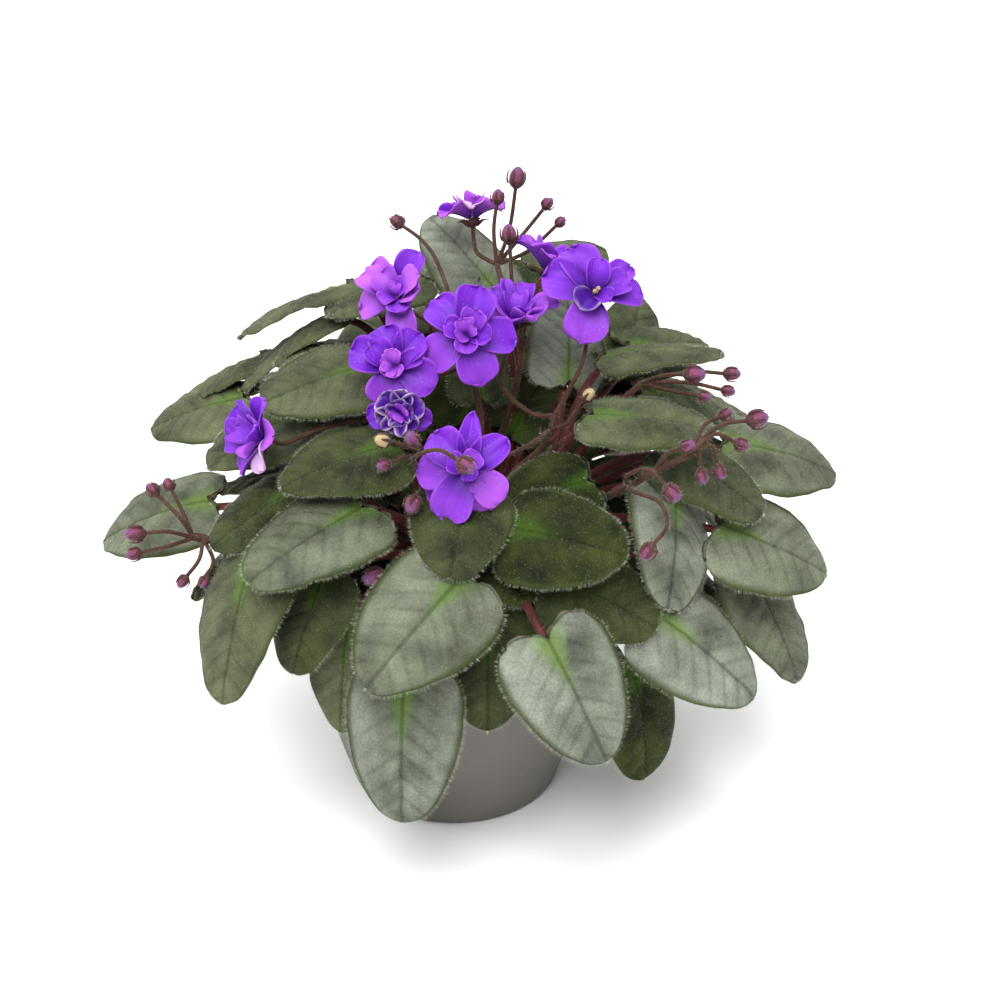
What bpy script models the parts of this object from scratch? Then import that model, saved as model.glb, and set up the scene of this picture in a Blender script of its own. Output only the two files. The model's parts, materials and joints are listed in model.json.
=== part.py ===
"""Potted African violet: a tapered grey pot, its soil, and a trailing double violet in full bloom.

Units are metres and +Z is up. The origin is the middle of the pot's flat foot. The front of the
plant, where most blooms show, looks along -Y. Angles in the planting plan are degrees: 0 points
along +X and 90 points to the back. The plan is laid out about the trunk, and the whole plant is
then moved to where the trunk stands, a little off the pot's middle.
"""

import math
from typing import NamedTuple

import bmesh
import bpy
from mathutils import Matrix, Vector

MM = 0.001
NAME = "potted_african_violet"
GAP = 0.3 * MM  # clearance between pieces that touch on the real plant

# Pot
POT_HEIGHT = 70 * MM
POT_FOOT_RADIUS = 34 * MM
POT_RIM_RADIUS = 54.5 * MM
POT_WALL = 1.8 * MM
POT_FLOOR = 2.4 * MM
POT_LIP_WIDTH = 2.6 * MM
POT_LIP_HEIGHT = 6 * MM
POT_STEPS = 24
DRAIN_HOLES = 6
DRAIN_RADIUS = 3.5 * MM
DRAIN_STEPS = 8
DRAIN_REACH = 22 * MM

# Soil
SOIL_TOP = 62 * MM
SOIL_RELIEF = 1.6 * MM
SOIL_HOLE_RADIUS = 7.5 * MM
SOIL_HOLE_DEPTH = 14 * MM
SOIL_RINGS = 2
PLANT_SHIFT = Vector((5, 5, 0)) * MM  # where the trunk stands, from the pot's middle

# Crown and stalks
TRUNK_RADIUS = 6.5 * MM
HEAD_RADIUS = 11 * MM
BRANCH_RADIUS = 4.6 * MM
BRANCHES = 6
BRANCH_REACH = 21 * MM
BRANCH_TOP = 92 * MM
TRUNK_TOP = 100 * MM
PETIOLE_RADIUS = 1.5 * MM
PETIOLE_UNDER = 2.5 * MM  # how far a stalk runs under its blade

# Leaves
BLADE_THICKNESS = 1.1 * MM
BLADE_COLUMNS = 4
BLADE_STATIONS = (35, 62, 90, 118, 148, 180)  # degrees round the outline from the lobes to the tip
BLADE_EGG = 0.28  # how much wider the blade is towards its stalk
LOBE = 0.13  # how far the two heart lobes reach back past the stalk, in blade lengths
DOME_CENTRE = Vector((0, 0, 70 * MM))
DOME_LEAN = 0.7  # 0: blades are level across, 1: they lie on the dome

# Blooms
PETAL_THICKNESS = 0.8 * MM
CUP_RADIUS = 3.2 * MM
CUP_RISE = 1.4 * MM  # how far the cup stands above the petals' roots
CUP_LENGTH = 4.5 * MM

SCRAP_VOLUME = 0.5 * MM**3  # a shell left by a union that holds less than this is dropped

# Flower stalks
PEDUNCLE_RADIUS = 1.2 * MM
PEDICEL_RADIUS = 0.8 * MM


class Leaf(NamedTuple):
    """One blade: where its stalk ends, which way its midrib points, and its size."""

    node: str
    azimuth: float  # degrees round the pot's axis
    reach: float  # mm out from the axis
    height: float  # mm above the foot
    heading: float  # degrees, the way the midrib points seen from above
    pitch: float  # degrees that the midrib rises; negative hangs down
    roll: float  # degrees that the blade's left half is lifted
    length: float  # mm
    width: float  # mm
    droop: float = 30.0  # degrees that the midrib curves down by its tip
    arch: float = 0.10  # how far the sides fall below the midrib, in widths


SKIRT = (
    Leaf("leaf_01", -104, 77, 80, -100, -62, 0, 44, 33),
    Leaf("leaf_02", -92, 67, 111, -128, -14, 0, 41, 35),
    Leaf("leaf_03", -84, 60, 94, -88, -55, 0, 34, 28),
    Leaf("leaf_04", -73, 82, 98, -48, -42, 0, 39, 33),
    Leaf("leaf_05", -49, 76, 75, -50, -62, 0, 38, 28),
    Leaf("leaf_06", -45, 80, 93, -15, -28, 0, 41, 34),
    Leaf("leaf_07", -10, 90, 84, -52, -30, 20, 38, 31),
    Leaf("leaf_08", -141, 83, 109, -114, -36, 0, 42, 31),
    Leaf("leaf_09", -129, 69, 103, -118, -32, 0, 29, 25),
    Leaf("leaf_10", -123, 65, 91, -112, -55, 0, 35, 27),
    Leaf("leaf_11", -166, 83, 111, 176, -8, 0, 39, 32, 38),
)
MIDDLE = (
    Leaf("leaf_12", -63, 60, 104, -25, -8, 0, 33, 28),
    Leaf("leaf_13", -74, 52, 119, -25, 8, 0, 34, 32),
    Leaf("leaf_14", -90, 40, 126, -98, -6, 0, 32, 28),
    Leaf("leaf_15", -82, 50, 107, -55, -5, 0, 19, 16),
    Leaf("leaf_16", -124, 56, 124, -142, -2, 0, 41, 31),
    Leaf("leaf_17", -128, 38, 136, -152, 6, 0, 34, 31),
    Leaf("leaf_18", 180, 31, 148, -155, 4, -15, 35, 32),
    Leaf("leaf_19", -150, 56, 122, -150, -6, 0, 35, 31),
    Leaf("leaf_19", -166, 34, 130, -140, -2, 0, 32, 28),
    Leaf("leaf_21", 178, 48, 134, -150, -4, -10, 38, 36),
    Leaf("leaf_22", 163, 76, 125, -175, -3, -20, 31, 32),
    Leaf("leaf_22", 147, 82, 129, -165, -12, -5, 34, 30),
    Leaf("leaf_23", 130, 62, 153, -168, -6, 0, 38, 28),
    Leaf("leaf_23", 113, 48, 158, -145, 5, -15, 32, 28),
    Leaf("leaf_22", 150, 46, 142, -172, 8, -10, 22, 18),
    Leaf("leaf_22", 135, 60, 146, -160, -15, 0, 40, 30),
)
TOP = (
    Leaf("leaf_25", 78, 44, 152, 138, 46, -30, 34, 30),
    Leaf("leaf_25", 88, 47, 156, 165, 10, -20, 26, 24),
    Leaf("leaf_26", 66, 62, 154, 40, 14, 30, 26, 24),
    Leaf("leaf_27", 26, 35, 135, 78, 56, 0, 29, 26),
    Leaf("leaf_28", 36, 62, 129, 66, 40, 0, 28, 23),
    Leaf("leaf_28", 33, 62, 138, 20, 6, 15, 28, 28),
    Leaf("leaf_29", 21, 47, 143, 4, 14, -5, 36, 27),
    Leaf("leaf_30", -26, 43, 141, -12, 12, -8, 36, 31),
    Leaf("leaf_31", 0, 82, 121, 4, -6, 8, 37, 35),
    Leaf("leaf_20", 12, 58, 133, 8, -6, 0, 30, 26),
    Leaf("leaf_32", -15, 64, 127, -28, -8, 10, 34, 29),
    Leaf("leaf_33", -23, 69, 118, -86, -22, 0, 39, 29),
    Leaf("leaf_34", -21, 84, 108, -5, -14, 10, 36, 35),
    Leaf("leaf_35", -38, 46, 123, -150, 5, 0, 27, 26),
    Leaf("leaf_36", 60, 8, 133, 95, 60, 0, 22, 18),
)
BACK = (
    Leaf("leaf_37", 36, 78, 117, 34, -15, 0, 42, 38),
    Leaf("leaf_37", 56, 76, 117, 56, -16, 0, 42, 40),
    Leaf("leaf_38", 86, 76, 120, 88, -18, 0, 42, 38),
    Leaf("leaf_38", 109, 76, 121, 112, -16, 0, 42, 38),
    Leaf("leaf_38", 132, 78, 119, 136, -18, 0, 42, 38),
    Leaf("leaf_39", 22, 75, 93, 20, -43, 0, 38, 36),
    Leaf("leaf_39", 42, 74, 93, 42, -45, 0, 40, 38),
    Leaf("leaf_24", 74, 70, 90, 74, -48, 0, 40, 38),
    Leaf("leaf_24", 98, 70, 91, 98, -46, 0, 40, 38),
    Leaf("leaf_24", 122, 71, 90, 122, -46, 0, 40, 38),
    Leaf("leaf_24", 146, 70, 91, 146, -44, 0, 38, 37),
)
LEAVES = SKIRT + MIDDLE + TOP + BACK


class Bloom(NamedTuple):
    """One double flower: its middle, the way it faces, and its petals."""

    node: str
    middle: tuple  # mm
    heading: float  # degrees
    pitch: float  # degrees above level
    spin: float  # degrees that the petals are turned about the flower's own axis
    width: float  # mm across the outer petals
    lift: float = 18.0  # degrees that the outer petals rise from flat
    outer: int = 5
    inner: int = 3


BLOOMS = (
    Bloom("bloom_01", (-22, 6, 169), -115, 48, 10, 28),
    Bloom("bloom_02", (0, -13, 165), -88, 42, 20, 30),
    Bloom("bloom_03", (15, 6, 161), -70, 80, 40, 25, 45),
    Bloom("bloom_04", (-22, -16, 156), -100, 38, 0, 25),
    Bloom("bloom_05", (-20, -27, 146), -95, 25, 35, 18, 60, inner=2),
    Bloom("bloom_06", (0, -46, 137), -92, 35, 50, 30),
    Bloom("bloom_07", (-62, -25, 136), -165, 20, 5, 23, 30),
    Bloom("bloom_08", (1, 50, 176), 100, 60, 15, 22, 40),
    Bloom("bloom_09", (25, 24, 170), 40, 66, 30, 24, 35),
    Bloom("bloom_10", (39, 2, 172), -75, 48, 60, 31),
)


class Pedicel(NamedTuple):
    """A stalk from a spray's fork by way of some points to its bud, or to the back of a bloom."""

    fork: int  # which of the spray's forks it leaves from
    path: tuple  # mm
    bud: float = 0.0  # mm that the bud is long, or 0 for a stalk that carries a bloom
    bloom: str = ""


class Spray(NamedTuple):
    """A flower stalk: the stem that grows from the crown, and the pedicels that it carries.

    The stem is part of the crown's solid. The pedicels and buds are the spray's own solid, which
    begins just clear of the stem's end.
    """

    node: str
    stem: tuple  # mm, from the crown to the fork
    fork: tuple  # mm, the points where pedicels leave the spray, the first one over the stem
    pedicels: tuple


SPRAYS = (
    Spray(
        "spray_01",
        ((5, -3, 96), (15, -10, 116), (24, -12, 127)),
        ((24, -12, 128), (27, -8, 135)),
        (
            Pedicel(1, ((31, -6, 142), (36, -3, 153)), bloom="bloom_10"),
            Pedicel(1, ((20, -7, 135), (11, -4, 142), (11, 0, 149)), bloom="bloom_03"),
            Pedicel(0, ((20, -26, 135), (12, -34, 135)), bloom="bloom_06"),
            Pedicel(0, ((31, -13, 135), (36, -15, 144)), bud=5.5),
        ),
    ),
    Spray(
        "spray_02",
        ((3, 6, 96), (12, 8, 125), (17, 10, 149)),
        ((17, 10, 150), (12, 22, 161), (9, 36, 166)),
        (
            Pedicel(0, ((14, 18, 164), (13, 26, 178)), bud=7),
            Pedicel(0, ((22, 16, 160),), bloom="bloom_09"),
            Pedicel(2, ((13, 41, 176), (15, 45, 189)), bud=7.5),
            Pedicel(2, ((8, 40, 176), (9, 43, 184)), bud=5.5),
            Pedicel(2, ((17, 43, 173), (24, 46, 181)), bud=5),
            Pedicel(2, ((19, 42, 168), (28, 44, 176)), bud=4.5),
            Pedicel(2, ((3, 42, 167),), bloom="bloom_08"),
        ),
    ),
    Spray(
        "spray_03",
        ((0, -3, 96), (4, -7, 125), (2, -6, 145)),
        ((2, -6, 146), (-4, 0, 156)),
        (
            Pedicel(1, ((-5, 9, 165), (-10, 22, 174), (-15, 29, 178), (-21, 35, 180)), bud=6),
            Pedicel(1, ((-12, 6, 160),), bloom="bloom_01"),
            Pedicel(0, ((2, -7, 153),), bloom="bloom_02"),
            Pedicel(0, ((-12, -8, 148),), bloom="bloom_04"),
        ),
    ),
    Spray(
        "spray_04",
        ((-3, -6, 96), (-8, -22, 114), (-12, -34, 126)),
        ((-12, -34, 127), (-13, -36, 136)),
        (
            Pedicel(1, ((-17, -30, 139),), bloom="bloom_05"),
            Pedicel(1, ((-18, -37, 140), (-23, -40, 143)), bud=6),
            Pedicel(1, ((-18, -40, 138), (-23, -44, 138)), bud=5),
            Pedicel(1, ((-13, -39, 140), (-15, -42, 144)), bud=6.5),
            Pedicel(0, ((-15, -43, 136), (-15, -47, 142), (-8, -52, 147), (-2, -57, 146)), bud=7),
            Pedicel(0, ((-13, -42, 130), (-15, -47, 128)), bud=7),
        ),
    ),
    Spray(
        "spray_05",
        ((8, -5, 96), (28, -16, 108), (44, -30, 119)),
        ((44, -30, 120), (56, -39, 132), (67, -40, 139)),
        (
            Pedicel(2, ((75, -34, 145), (84, -34, 147)), bud=7.5),
            Pedicel(2, ((71, -32, 144), (76, -30, 146)), bud=5),
            Pedicel(2, ((74, -37, 144), (80, -38, 142)), bud=5.5),
            Pedicel(2, ((73, -38, 141), (75, -41, 136)), bud=5.5),
            Pedicel(2, ((69, -38, 140), (70, -42, 135)), bud=5.5),
            Pedicel(1, ((60, -40, 139), (64, -42, 142)), bud=5.5),
            Pedicel(0, ((48, -41, 132), (54, -46, 137), (59, -51, 134)), bud=7),
            Pedicel(0, ((50, -47, 130), (57, -55, 131), (59, -62, 127), (55, -64, 122)), bud=6.5),
        ),
    ),
    Spray(
        "spray_06",
        ((8, 0, 96), (26, -1, 118), (44, -1, 133)),
        ((44, -1, 134), (54, -2, 143)),
        (
            Pedicel(1, ((61, -6, 148), (67, -8, 149)), bud=7.5),
            Pedicel(1, ((68, -6, 149), (79, -7, 149)), bud=6),
            Pedicel(1, ((67, -9, 147), (78, -12, 146)), bud=5),
            Pedicel(1, ((63, -9, 144), (71, -14, 145)), bud=4.5),
        ),
    ),
    Spray(
        "spray_07",
        ((-8, -4, 94), (-34, -14, 102), (-60, -26, 104), (-78, -38, 108)),
        ((-79, -39, 109), (-83, -42, 111)),
        (
            Pedicel(1, ((-87, -40, 117), (-94, -35, 122)), bud=5.5),
            Pedicel(1, ((-86, -38, 117), (-90, -32, 122)), bud=5),
            Pedicel(1, ((-90, -45, 115), (-97, -46, 115)), bud=7),
            Pedicel(1, ((-90, -47, 111), (-98, -49, 110)), bud=5.5),
            Pedicel(0, ((-81, -46, 106), (-85, -48, 101)), bud=5),
            Pedicel(0, ((-77, -45, 105), (-79, -48, 101)), bud=4.5),
        ),
    ),
)
STEM_GAP = 1.2 * MM  # between a stem's end and the middle of the spray's first fork
FIRST_FORK = 0.4  # how far along a spray's first span its lowest pedicels leave it
LONE_BLOOM = "bloom_07"
LONE_BLOOM_STEM = ((-7, 0, 96), (-14, -4, 118), (-28, -10, 134), (-44, -16, 135))
LONE_BUD_STEM = ((-1, -8, 94), (-10, -28, 104), (-20, -48, 106), (-26, -56, 107))
LONE_BUD = 8  # mm long


def clear_scene():
    for thing in list(bpy.data.objects):
        bpy.data.objects.remove(thing)


def new_collection(name, parent):
    made = bpy.data.collections.new(name)
    parent.children.link(made)
    return made


def material(name, colour, roughness, metallic=0.0):
    made = bpy.data.materials.new(name)
    made.use_nodes = True
    shader = made.node_tree.nodes["Principled BSDF"]
    shader.inputs["Base Color"].default_value = (*colour, 1.0)
    shader.inputs["Roughness"].default_value = roughness
    shader.inputs["Metallic"].default_value = metallic
    made.diffuse_color = (*colour, 1.0)
    return made


def new_object(name, mesh, collection, skin):
    made = bpy.data.objects.new(name, mesh)
    made.data.materials.clear()
    made.data.materials.append(skin)
    collection.objects.link(made)
    return made


def direction(heading, pitch):
    """The unit vector at this heading and pitch, both in degrees."""
    turn, rise = math.radians(heading), math.radians(pitch)
    return Vector((math.cos(turn) * math.cos(rise), math.sin(turn) * math.cos(rise), math.sin(rise)))


def at(azimuth, reach, height):
    """The point at this azimuth in degrees, and this reach and height in mm."""
    turn = math.radians(azimuth)
    return Vector((reach * math.cos(turn), reach * math.sin(turn), height)) * MM


def evaluated_mesh(thing):
    bpy.context.view_layer.update()
    graph = bpy.context.evaluated_depsgraph_get()
    return bpy.data.meshes.new_from_object(thing.evaluated_get(graph))


def turned(name, profile, steps, collection, skin):
    """Spins a profile of (radius, height) points, top to bottom on its outer side, about Z."""
    form = bmesh.new()
    corners = [form.verts.new((radius, 0, height)) for radius, height in profile]
    for first, second in zip(corners, corners[1:]):
        form.edges.new((first, second))
    mesh = bpy.data.meshes.new(name)
    form.to_mesh(mesh)
    form.free()
    made = new_object(name, mesh, collection, skin)
    spin = made.modifiers.new("turn", "SCREW")
    spin.steps = spin.render_steps = steps
    spin.use_merge_vertices = True
    spin.merge_threshold = 0.00001
    spin.use_smooth_shade = True
    return made


def outer_radius(height):
    """The pot's outer radius at this height."""
    return POT_FOOT_RADIUS + (POT_RIM_RADIUS - POT_FOOT_RADIUS) * height / POT_HEIGHT


def pot(collection, cutters, skin):
    lip_foot = POT_HEIGHT - POT_LIP_HEIGHT
    chamfer = 1.5 * MM
    profile = (
        (0, POT_FLOOR),
        (outer_radius(POT_FLOOR) - POT_WALL, POT_FLOOR),
        (POT_RIM_RADIUS - POT_WALL, POT_HEIGHT),
        (POT_RIM_RADIUS + POT_LIP_WIDTH - 0.8 * MM, POT_HEIGHT),
        (POT_RIM_RADIUS + POT_LIP_WIDTH, POT_HEIGHT - 0.8 * MM),
        (POT_RIM_RADIUS + POT_LIP_WIDTH - 0.6 * MM, lip_foot),
        (outer_radius(lip_foot), lip_foot),
        (outer_radius(chamfer), chamfer),
        (POT_FOOT_RADIUS - chamfer, 0),
        (0, 0),
    )
    made = turned("pot", profile, POT_STEPS, collection, skin)
    for index in range(DRAIN_HOLES):
        turn = 2 * math.pi * index / DRAIN_HOLES
        place = (DRAIN_REACH * math.cos(turn), DRAIN_REACH * math.sin(turn), POT_FLOOR / 2)
        bpy.ops.mesh.primitive_cylinder_add(
            vertices=DRAIN_STEPS, radius=DRAIN_RADIUS, depth=4 * POT_FLOOR, location=place
        )
        drill = bpy.context.object
        drill.name = f"drain_drill_{index + 1}"
        for owner in list(drill.users_collection):
            owner.objects.unlink(drill)
        cutters.objects.link(drill)
        drill.hide_render = True
        drill.display_type = "WIRE"
    cut = made.modifiers.new("drain_holes", "BOOLEAN")
    cut.operation = "DIFFERENCE"
    cut.operand_type = "COLLECTION"
    cut.collection = cutters
    return made


def soil(collection, skin):
    """The plug of soil, with a hole for the trunk and a crumbled top that rises and falls."""
    wall = POT_WALL + GAP + 0.1 * MM
    foot, edge = POT_FLOOR + GAP, outer_radius(SOIL_TOP) - wall
    hole_floor = SOIL_TOP - SOIL_HOLE_DEPTH
    top = [
        (SOIL_HOLE_RADIUS + (edge - SOIL_HOLE_RADIUS) * ring / SOIL_RINGS, SOIL_TOP)
        for ring in range(SOIL_RINGS + 1)
    ]
    hole = [(0, hole_floor), (SOIL_HOLE_RADIUS, hole_floor)]
    profile = [*hole, *top, (outer_radius(foot) - wall, foot), (0, foot)]
    turned("soil", profile, 24, collection, skin)
    made = collection.objects["soil"]
    made.data = evaluated_mesh(made)
    made.modifiers.clear()
    for corner in made.data.vertices:
        spot = corner.co
        reach = math.hypot(spot.x, spot.y)
        if reach < SOIL_HOLE_RADIUS + 0.1 * MM and spot.z > hole_floor - 0.1 * MM:
            spot += PLANT_SHIFT
        if spot.z > SOIL_TOP - 0.1 * MM and SOIL_HOLE_RADIUS + MM < reach < edge - MM:
            wave = math.sin(190 * spot.x + 1.3) * math.sin(230 * spot.y) + math.sin(410 * (spot.x - spot.y))
            spot.z += SOIL_RELIEF * 0.5 * wave
    return made


def blade_point(leaf, across, station):
    """A point of the blade's middle surface: across is -1 to 1, station is degrees round the outline."""
    turn = math.radians(station)
    length, half = leaf.length * MM, leaf.width * MM / 2
    middle = (1 - LOBE) / 2
    along = middle - (1 + LOBE) / 2 * math.cos(turn)
    side = half * math.sin(turn) ** 0.75 * (1 + BLADE_EGG * math.cos(turn)) * across
    if station == BLADE_STATIONS[0]:
        along -= (along + LOBE * 0.95) * math.sin(math.pi * abs(across)) ** 0.8 + along * (1 - abs(across))
    bend = math.radians(leaf.droop)
    radius = length / bend
    fall = radius * (1 - math.cos(bend * max(along, 0)))
    run = radius * math.sin(bend * along)
    sides = leaf.arch * leaf.width * MM * (side / half) ** 2
    rib = 0.7 * MM * max(0, 1 - abs(side) / (0.3 * half)) * math.sin(math.pi * min(max(along, 0), 1))
    return Vector((side, run, -fall - sides - rib))


def blade_matrix(leaf):
    """The frame of a blade: X to its left, Y along the midrib, Z out of its upper face."""
    base = at(leaf.azimuth, leaf.reach, leaf.height)
    along = direction(leaf.heading, leaf.pitch)
    outward = (base + along * leaf.length * MM / 2 - DOME_CENTRE).normalized()
    upper = Vector((0, 0, 1)).lerp(outward, DOME_LEAN)
    side = along.cross(upper).normalized()
    upper = side.cross(along)
    frame = Matrix((side, along, upper)).transposed().to_4x4()
    return Matrix.Translation(base) @ frame @ Matrix.Rotation(math.radians(leaf.roll), 4, "Y")


def blade(leaf, collection, skin):
    form = bmesh.new()
    rows = len(BLADE_STATIONS) - 1
    bmesh.ops.create_grid(form, x_segments=BLADE_COLUMNS, y_segments=rows, size=1)
    for corner in form.verts:
        station = BLADE_STATIONS[round((corner.co.y + 1) / 2 * rows)]
        corner.co = blade_point(leaf, corner.co.x, station)
    bmesh.ops.remove_doubles(form, verts=form.verts, dist=0.01 * MM)
    bmesh.ops.triangulate(form, faces=form.faces)
    mesh = bpy.data.meshes.new(leaf.node)
    form.to_mesh(mesh)
    form.free()
    made = new_object(leaf.node, mesh, collection, skin)
    made.matrix_world = blade_matrix(leaf)
    thick = made.modifiers.new("thickness", "SOLIDIFY")
    thick.thickness = BLADE_THICKNESS
    thick.offset = 0
    return made


def leaf_nodes(parent, skin):
    """Makes each node of the plan: a single blade, or blades that have grown into each other."""
    for node in dict.fromkeys(leaf.node for leaf in LEAVES):
        members = new_collection(node + "_members", parent)
        for leaf in LEAVES:
            if leaf.node == node:
                blade(leaf, members, skin)
        fuse(node, members, parent, skin)


def tube(name, points, radii, collection, skin, segments=2, sides=0, handles=None):
    """A closed tube along a Bezier curve through these points, as a mesh."""
    curve = bpy.data.curves.new(name, "CURVE")
    curve.dimensions = "3D"
    curve.bevel_depth = 1.0
    curve.bevel_resolution = sides
    curve.resolution_u = segments
    curve.use_fill_caps = True
    spline = curve.splines.new("BEZIER")
    spline.bezier_points.add(len(points) - 1)
    for index, (spot, place, radius) in enumerate(zip(spline.bezier_points, points, radii)):
        spot.co = place
        spot.radius = radius
        spot.handle_left_type = spot.handle_right_type = "AUTO"
        if handles:
            spot.handle_left_type = spot.handle_right_type = "FREE"
            spot.handle_left, spot.handle_right = handles[index]
    guide = bpy.data.objects.new(name, curve)
    collection.objects.link(guide)
    mesh = evaluated_mesh(guide)
    bpy.data.objects.remove(guide)
    form = bmesh.new()
    form.from_mesh(mesh)
    bmesh.ops.remove_doubles(form, verts=form.verts, dist=0.01 * MM)
    bmesh.ops.recalc_face_normals(form, faces=form.faces)
    form.to_mesh(mesh)
    form.free()
    return new_object(name, mesh, collection, skin)


def fuse(name, members, parent, skin):
    """Joins a collection's solids in one object with a Boolean union, and removes them."""
    first, *rest = list(members.objects)
    if rest:
        members.objects.unlink(first)
        parent.objects.link(first)
        union = first.modifiers.new("union", "BOOLEAN")
        union.operation = "UNION"
        union.operand_type = "COLLECTION"
        union.collection = members
        union.solver = "MANIFOLD"
    mesh = evaluated_mesh(first)
    mesh.transform(first.matrix_world)
    for thing in (first, *rest):
        bpy.data.objects.remove(thing)
    bpy.data.collections.remove(members)
    drop_scraps(mesh)
    return new_object(name, mesh, parent, skin)


def drop_scraps(mesh):
    """Removes slivers and sealed hollows that a union leaves: every shell but those with real volume."""
    form = bmesh.new()
    form.from_mesh(mesh)
    waiting = set(form.verts)
    while waiting:
        shell = {waiting.pop()}
        edge = list(shell)
        while edge:
            corner = edge.pop()
            near = {side.other_vert(corner) for side in corner.link_edges} & waiting
            waiting -= near
            shell |= near
            edge += near
        faces = {face for corner in shell for face in corner.link_faces}
        volume = sum(corner_volume(face) for face in faces)
        if volume < SCRAP_VOLUME:
            bmesh.ops.delete(form, geom=list(shell), context="VERTS")
    form.to_mesh(mesh)
    form.free()


def corner_volume(face):
    """The signed volume under a face, seen from the origin, summed over its fan of triangles."""
    first, *others = [loop.vert.co for loop in face.loops]
    return sum(first.dot(a.cross(b)) for a, b in zip(others, others[1:])) / 6


def branch_tip(azimuth):
    """The tip of the crown's branch that is nearest to this azimuth."""
    step = 360 / BRANCHES
    nearest = round(azimuth / step) * step
    return at(nearest, BRANCH_REACH / MM, BRANCH_TOP / MM)


def petiole(name, leaf, collection, skin):
    """A leaf's stalk: it leaves the crown and runs along under the base of its blade."""
    frame = blade_matrix(leaf)
    along = frame.col[1].to_3d()
    under = BLADE_THICKNESS / 2 + PETIOLE_RADIUS * 0.8 + GAP + 0.5 * MM
    end = frame @ Vector((0, PETIOLE_UNDER, -under))
    level = min(max((leaf.height - 70) / 80, 0.15), 0.9)
    root = Vector((0, 0, SOIL_TOP)).lerp(branch_tip(leaf.azimuth), level)
    span = (end - root).length
    start = (root - Vector((0, 0, SOIL_TOP))).normalized()
    handles = (
        (root - start * 0.3 * span, root + start * 0.35 * span),
        (end - along * 0.28 * span, end + along * 0.1 * span),
    )
    radii = (PETIOLE_RADIUS * 1.15, PETIOLE_RADIUS * 0.8)
    return tube(name, (root, end), radii, collection, skin, 2, handles=handles)


def crown(blooms, parent, skin):
    members = new_collection("crown_members", parent)
    hub = Vector((0, 0, SOIL_TOP))
    foot = hub - Vector((0, 0, SOIL_HOLE_DEPTH - GAP))
    trunk = (foot, hub, Vector((0, 0, TRUNK_TOP)))
    tube("trunk", trunk, (TRUNK_RADIUS, TRUNK_RADIUS, HEAD_RADIUS), members, skin, 2, 1)
    for index in range(BRANCHES):
        tip = branch_tip(360 * index / BRANCHES)
        middle = hub.lerp(tip, 0.5) + Vector((0, 0, -3 * MM))
        radii = (BRANCH_RADIUS * 1.1, BRANCH_RADIUS, BRANCH_RADIUS * 0.8)
        tube(f"branch_{index + 1}", (hub, middle, tip), radii, members, skin, 2, 1)
    for index, leaf in enumerate(LEAVES):
        petiole(f"petiole_{index + 1}", leaf, members, skin)
    for plan in SPRAYS:
        stem = metres(plan.stem)
        tube("stem_of_" + plan.node, stem, [PEDUNCLE_RADIUS] * len(stem), members, skin, 1)
    lone = metres(LONE_BLOOM_STEM) + bloom_foot(blooms[LONE_BLOOM])
    stalk("lone_bloom_stem", lone, members, skin)
    budded("lone_bud_stem", metres(LONE_BUD_STEM), LONE_BUD, members, skin)
    return fuse("crown", members, parent, skin)


def bloom_frame(flower):
    """The frame of a bloom: its Z looks out of the flower."""
    axis = direction(flower.heading, flower.pitch)
    turn = axis.to_track_quat("Z", "Y").to_matrix().to_4x4()
    spin = Matrix.Rotation(math.radians(flower.spin), 4, "Z")
    return Matrix.Translation(Vector(flower.middle) * MM) @ turn @ spin


def petal(name, angle, root, length, width, lift, curl, collection, skin):
    """One spoon-shaped petal that rises by lift degrees and then curls out by curl degrees.

    Its foot is at root, the distance out from the flower's axis.
    """
    foot = 1.7 * MM / width
    half_widths = (foot, 1.0, 0.62)
    stations = (0, 0.58, 1.0)
    form = bmesh.new()
    bmesh.ops.create_grid(form, x_segments=2, y_segments=2, size=1)
    for corner in form.verts:
        row, across = round(corner.co.y + 1), corner.co.x
        along = stations[row] - (0.10 * across**2 if row == 2 else 0)
        rise = math.radians(lift - curl * along)
        out = root + length * along * math.cos(rise)
        up = length * along * math.sin(rise) + 0.16 * width * across**2 * min(row, 1)
        corner.co = (width / 2 * half_widths[row] * across, out, up)
    bmesh.ops.rotate(form, verts=form.verts, matrix=Matrix.Rotation(math.radians(angle), 3, "Z"))
    bmesh.ops.triangulate(form, faces=form.faces)
    mesh = bpy.data.meshes.new(name)
    form.to_mesh(mesh)
    form.free()
    made = new_object(name, mesh, collection, skin)
    thick = made.modifiers.new("thickness", "SOLIDIFY")
    thick.thickness = PETAL_THICKNESS
    thick.offset = 0
    solid = evaluated_mesh(made)
    made.modifiers.clear()
    made.data = solid
    return made


def bloom(flower, parent, skin):
    members = new_collection(flower.node + "_members", parent)
    reach = flower.width * MM / 2
    form = bmesh.new()
    bmesh.ops.create_cone(
        form, cap_ends=True, segments=6, radius1=1.3 * MM, radius2=CUP_RADIUS, depth=CUP_LENGTH
    )
    bmesh.ops.translate(form, verts=form.verts, vec=(0, 0, CUP_RISE - CUP_LENGTH / 2))
    mesh = bpy.data.meshes.new("cup")
    form.to_mesh(mesh)
    form.free()
    new_object("cup", mesh, members, skin)
    root = 1.8 * MM
    for index in range(flower.outer):
        angle = 360 * index / flower.outer
        size = (reach - root, 0.80 * reach)
        petal(f"outer_{index + 1}", angle, root, *size, flower.lift, 20, members, skin)
    for index in range(flower.inner):
        angle = 360 * index / flower.inner + 36
        size = (0.58 * reach, 0.5 * reach)
        lift = 0.5 * flower.lift + 48
        petal(f"inner_{index + 1}", angle, 0.9 * MM, *size, lift, 20, members, skin)
    made = fuse(flower.node, members, parent, skin)
    made.matrix_world = bloom_frame(flower)
    return made


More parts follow.
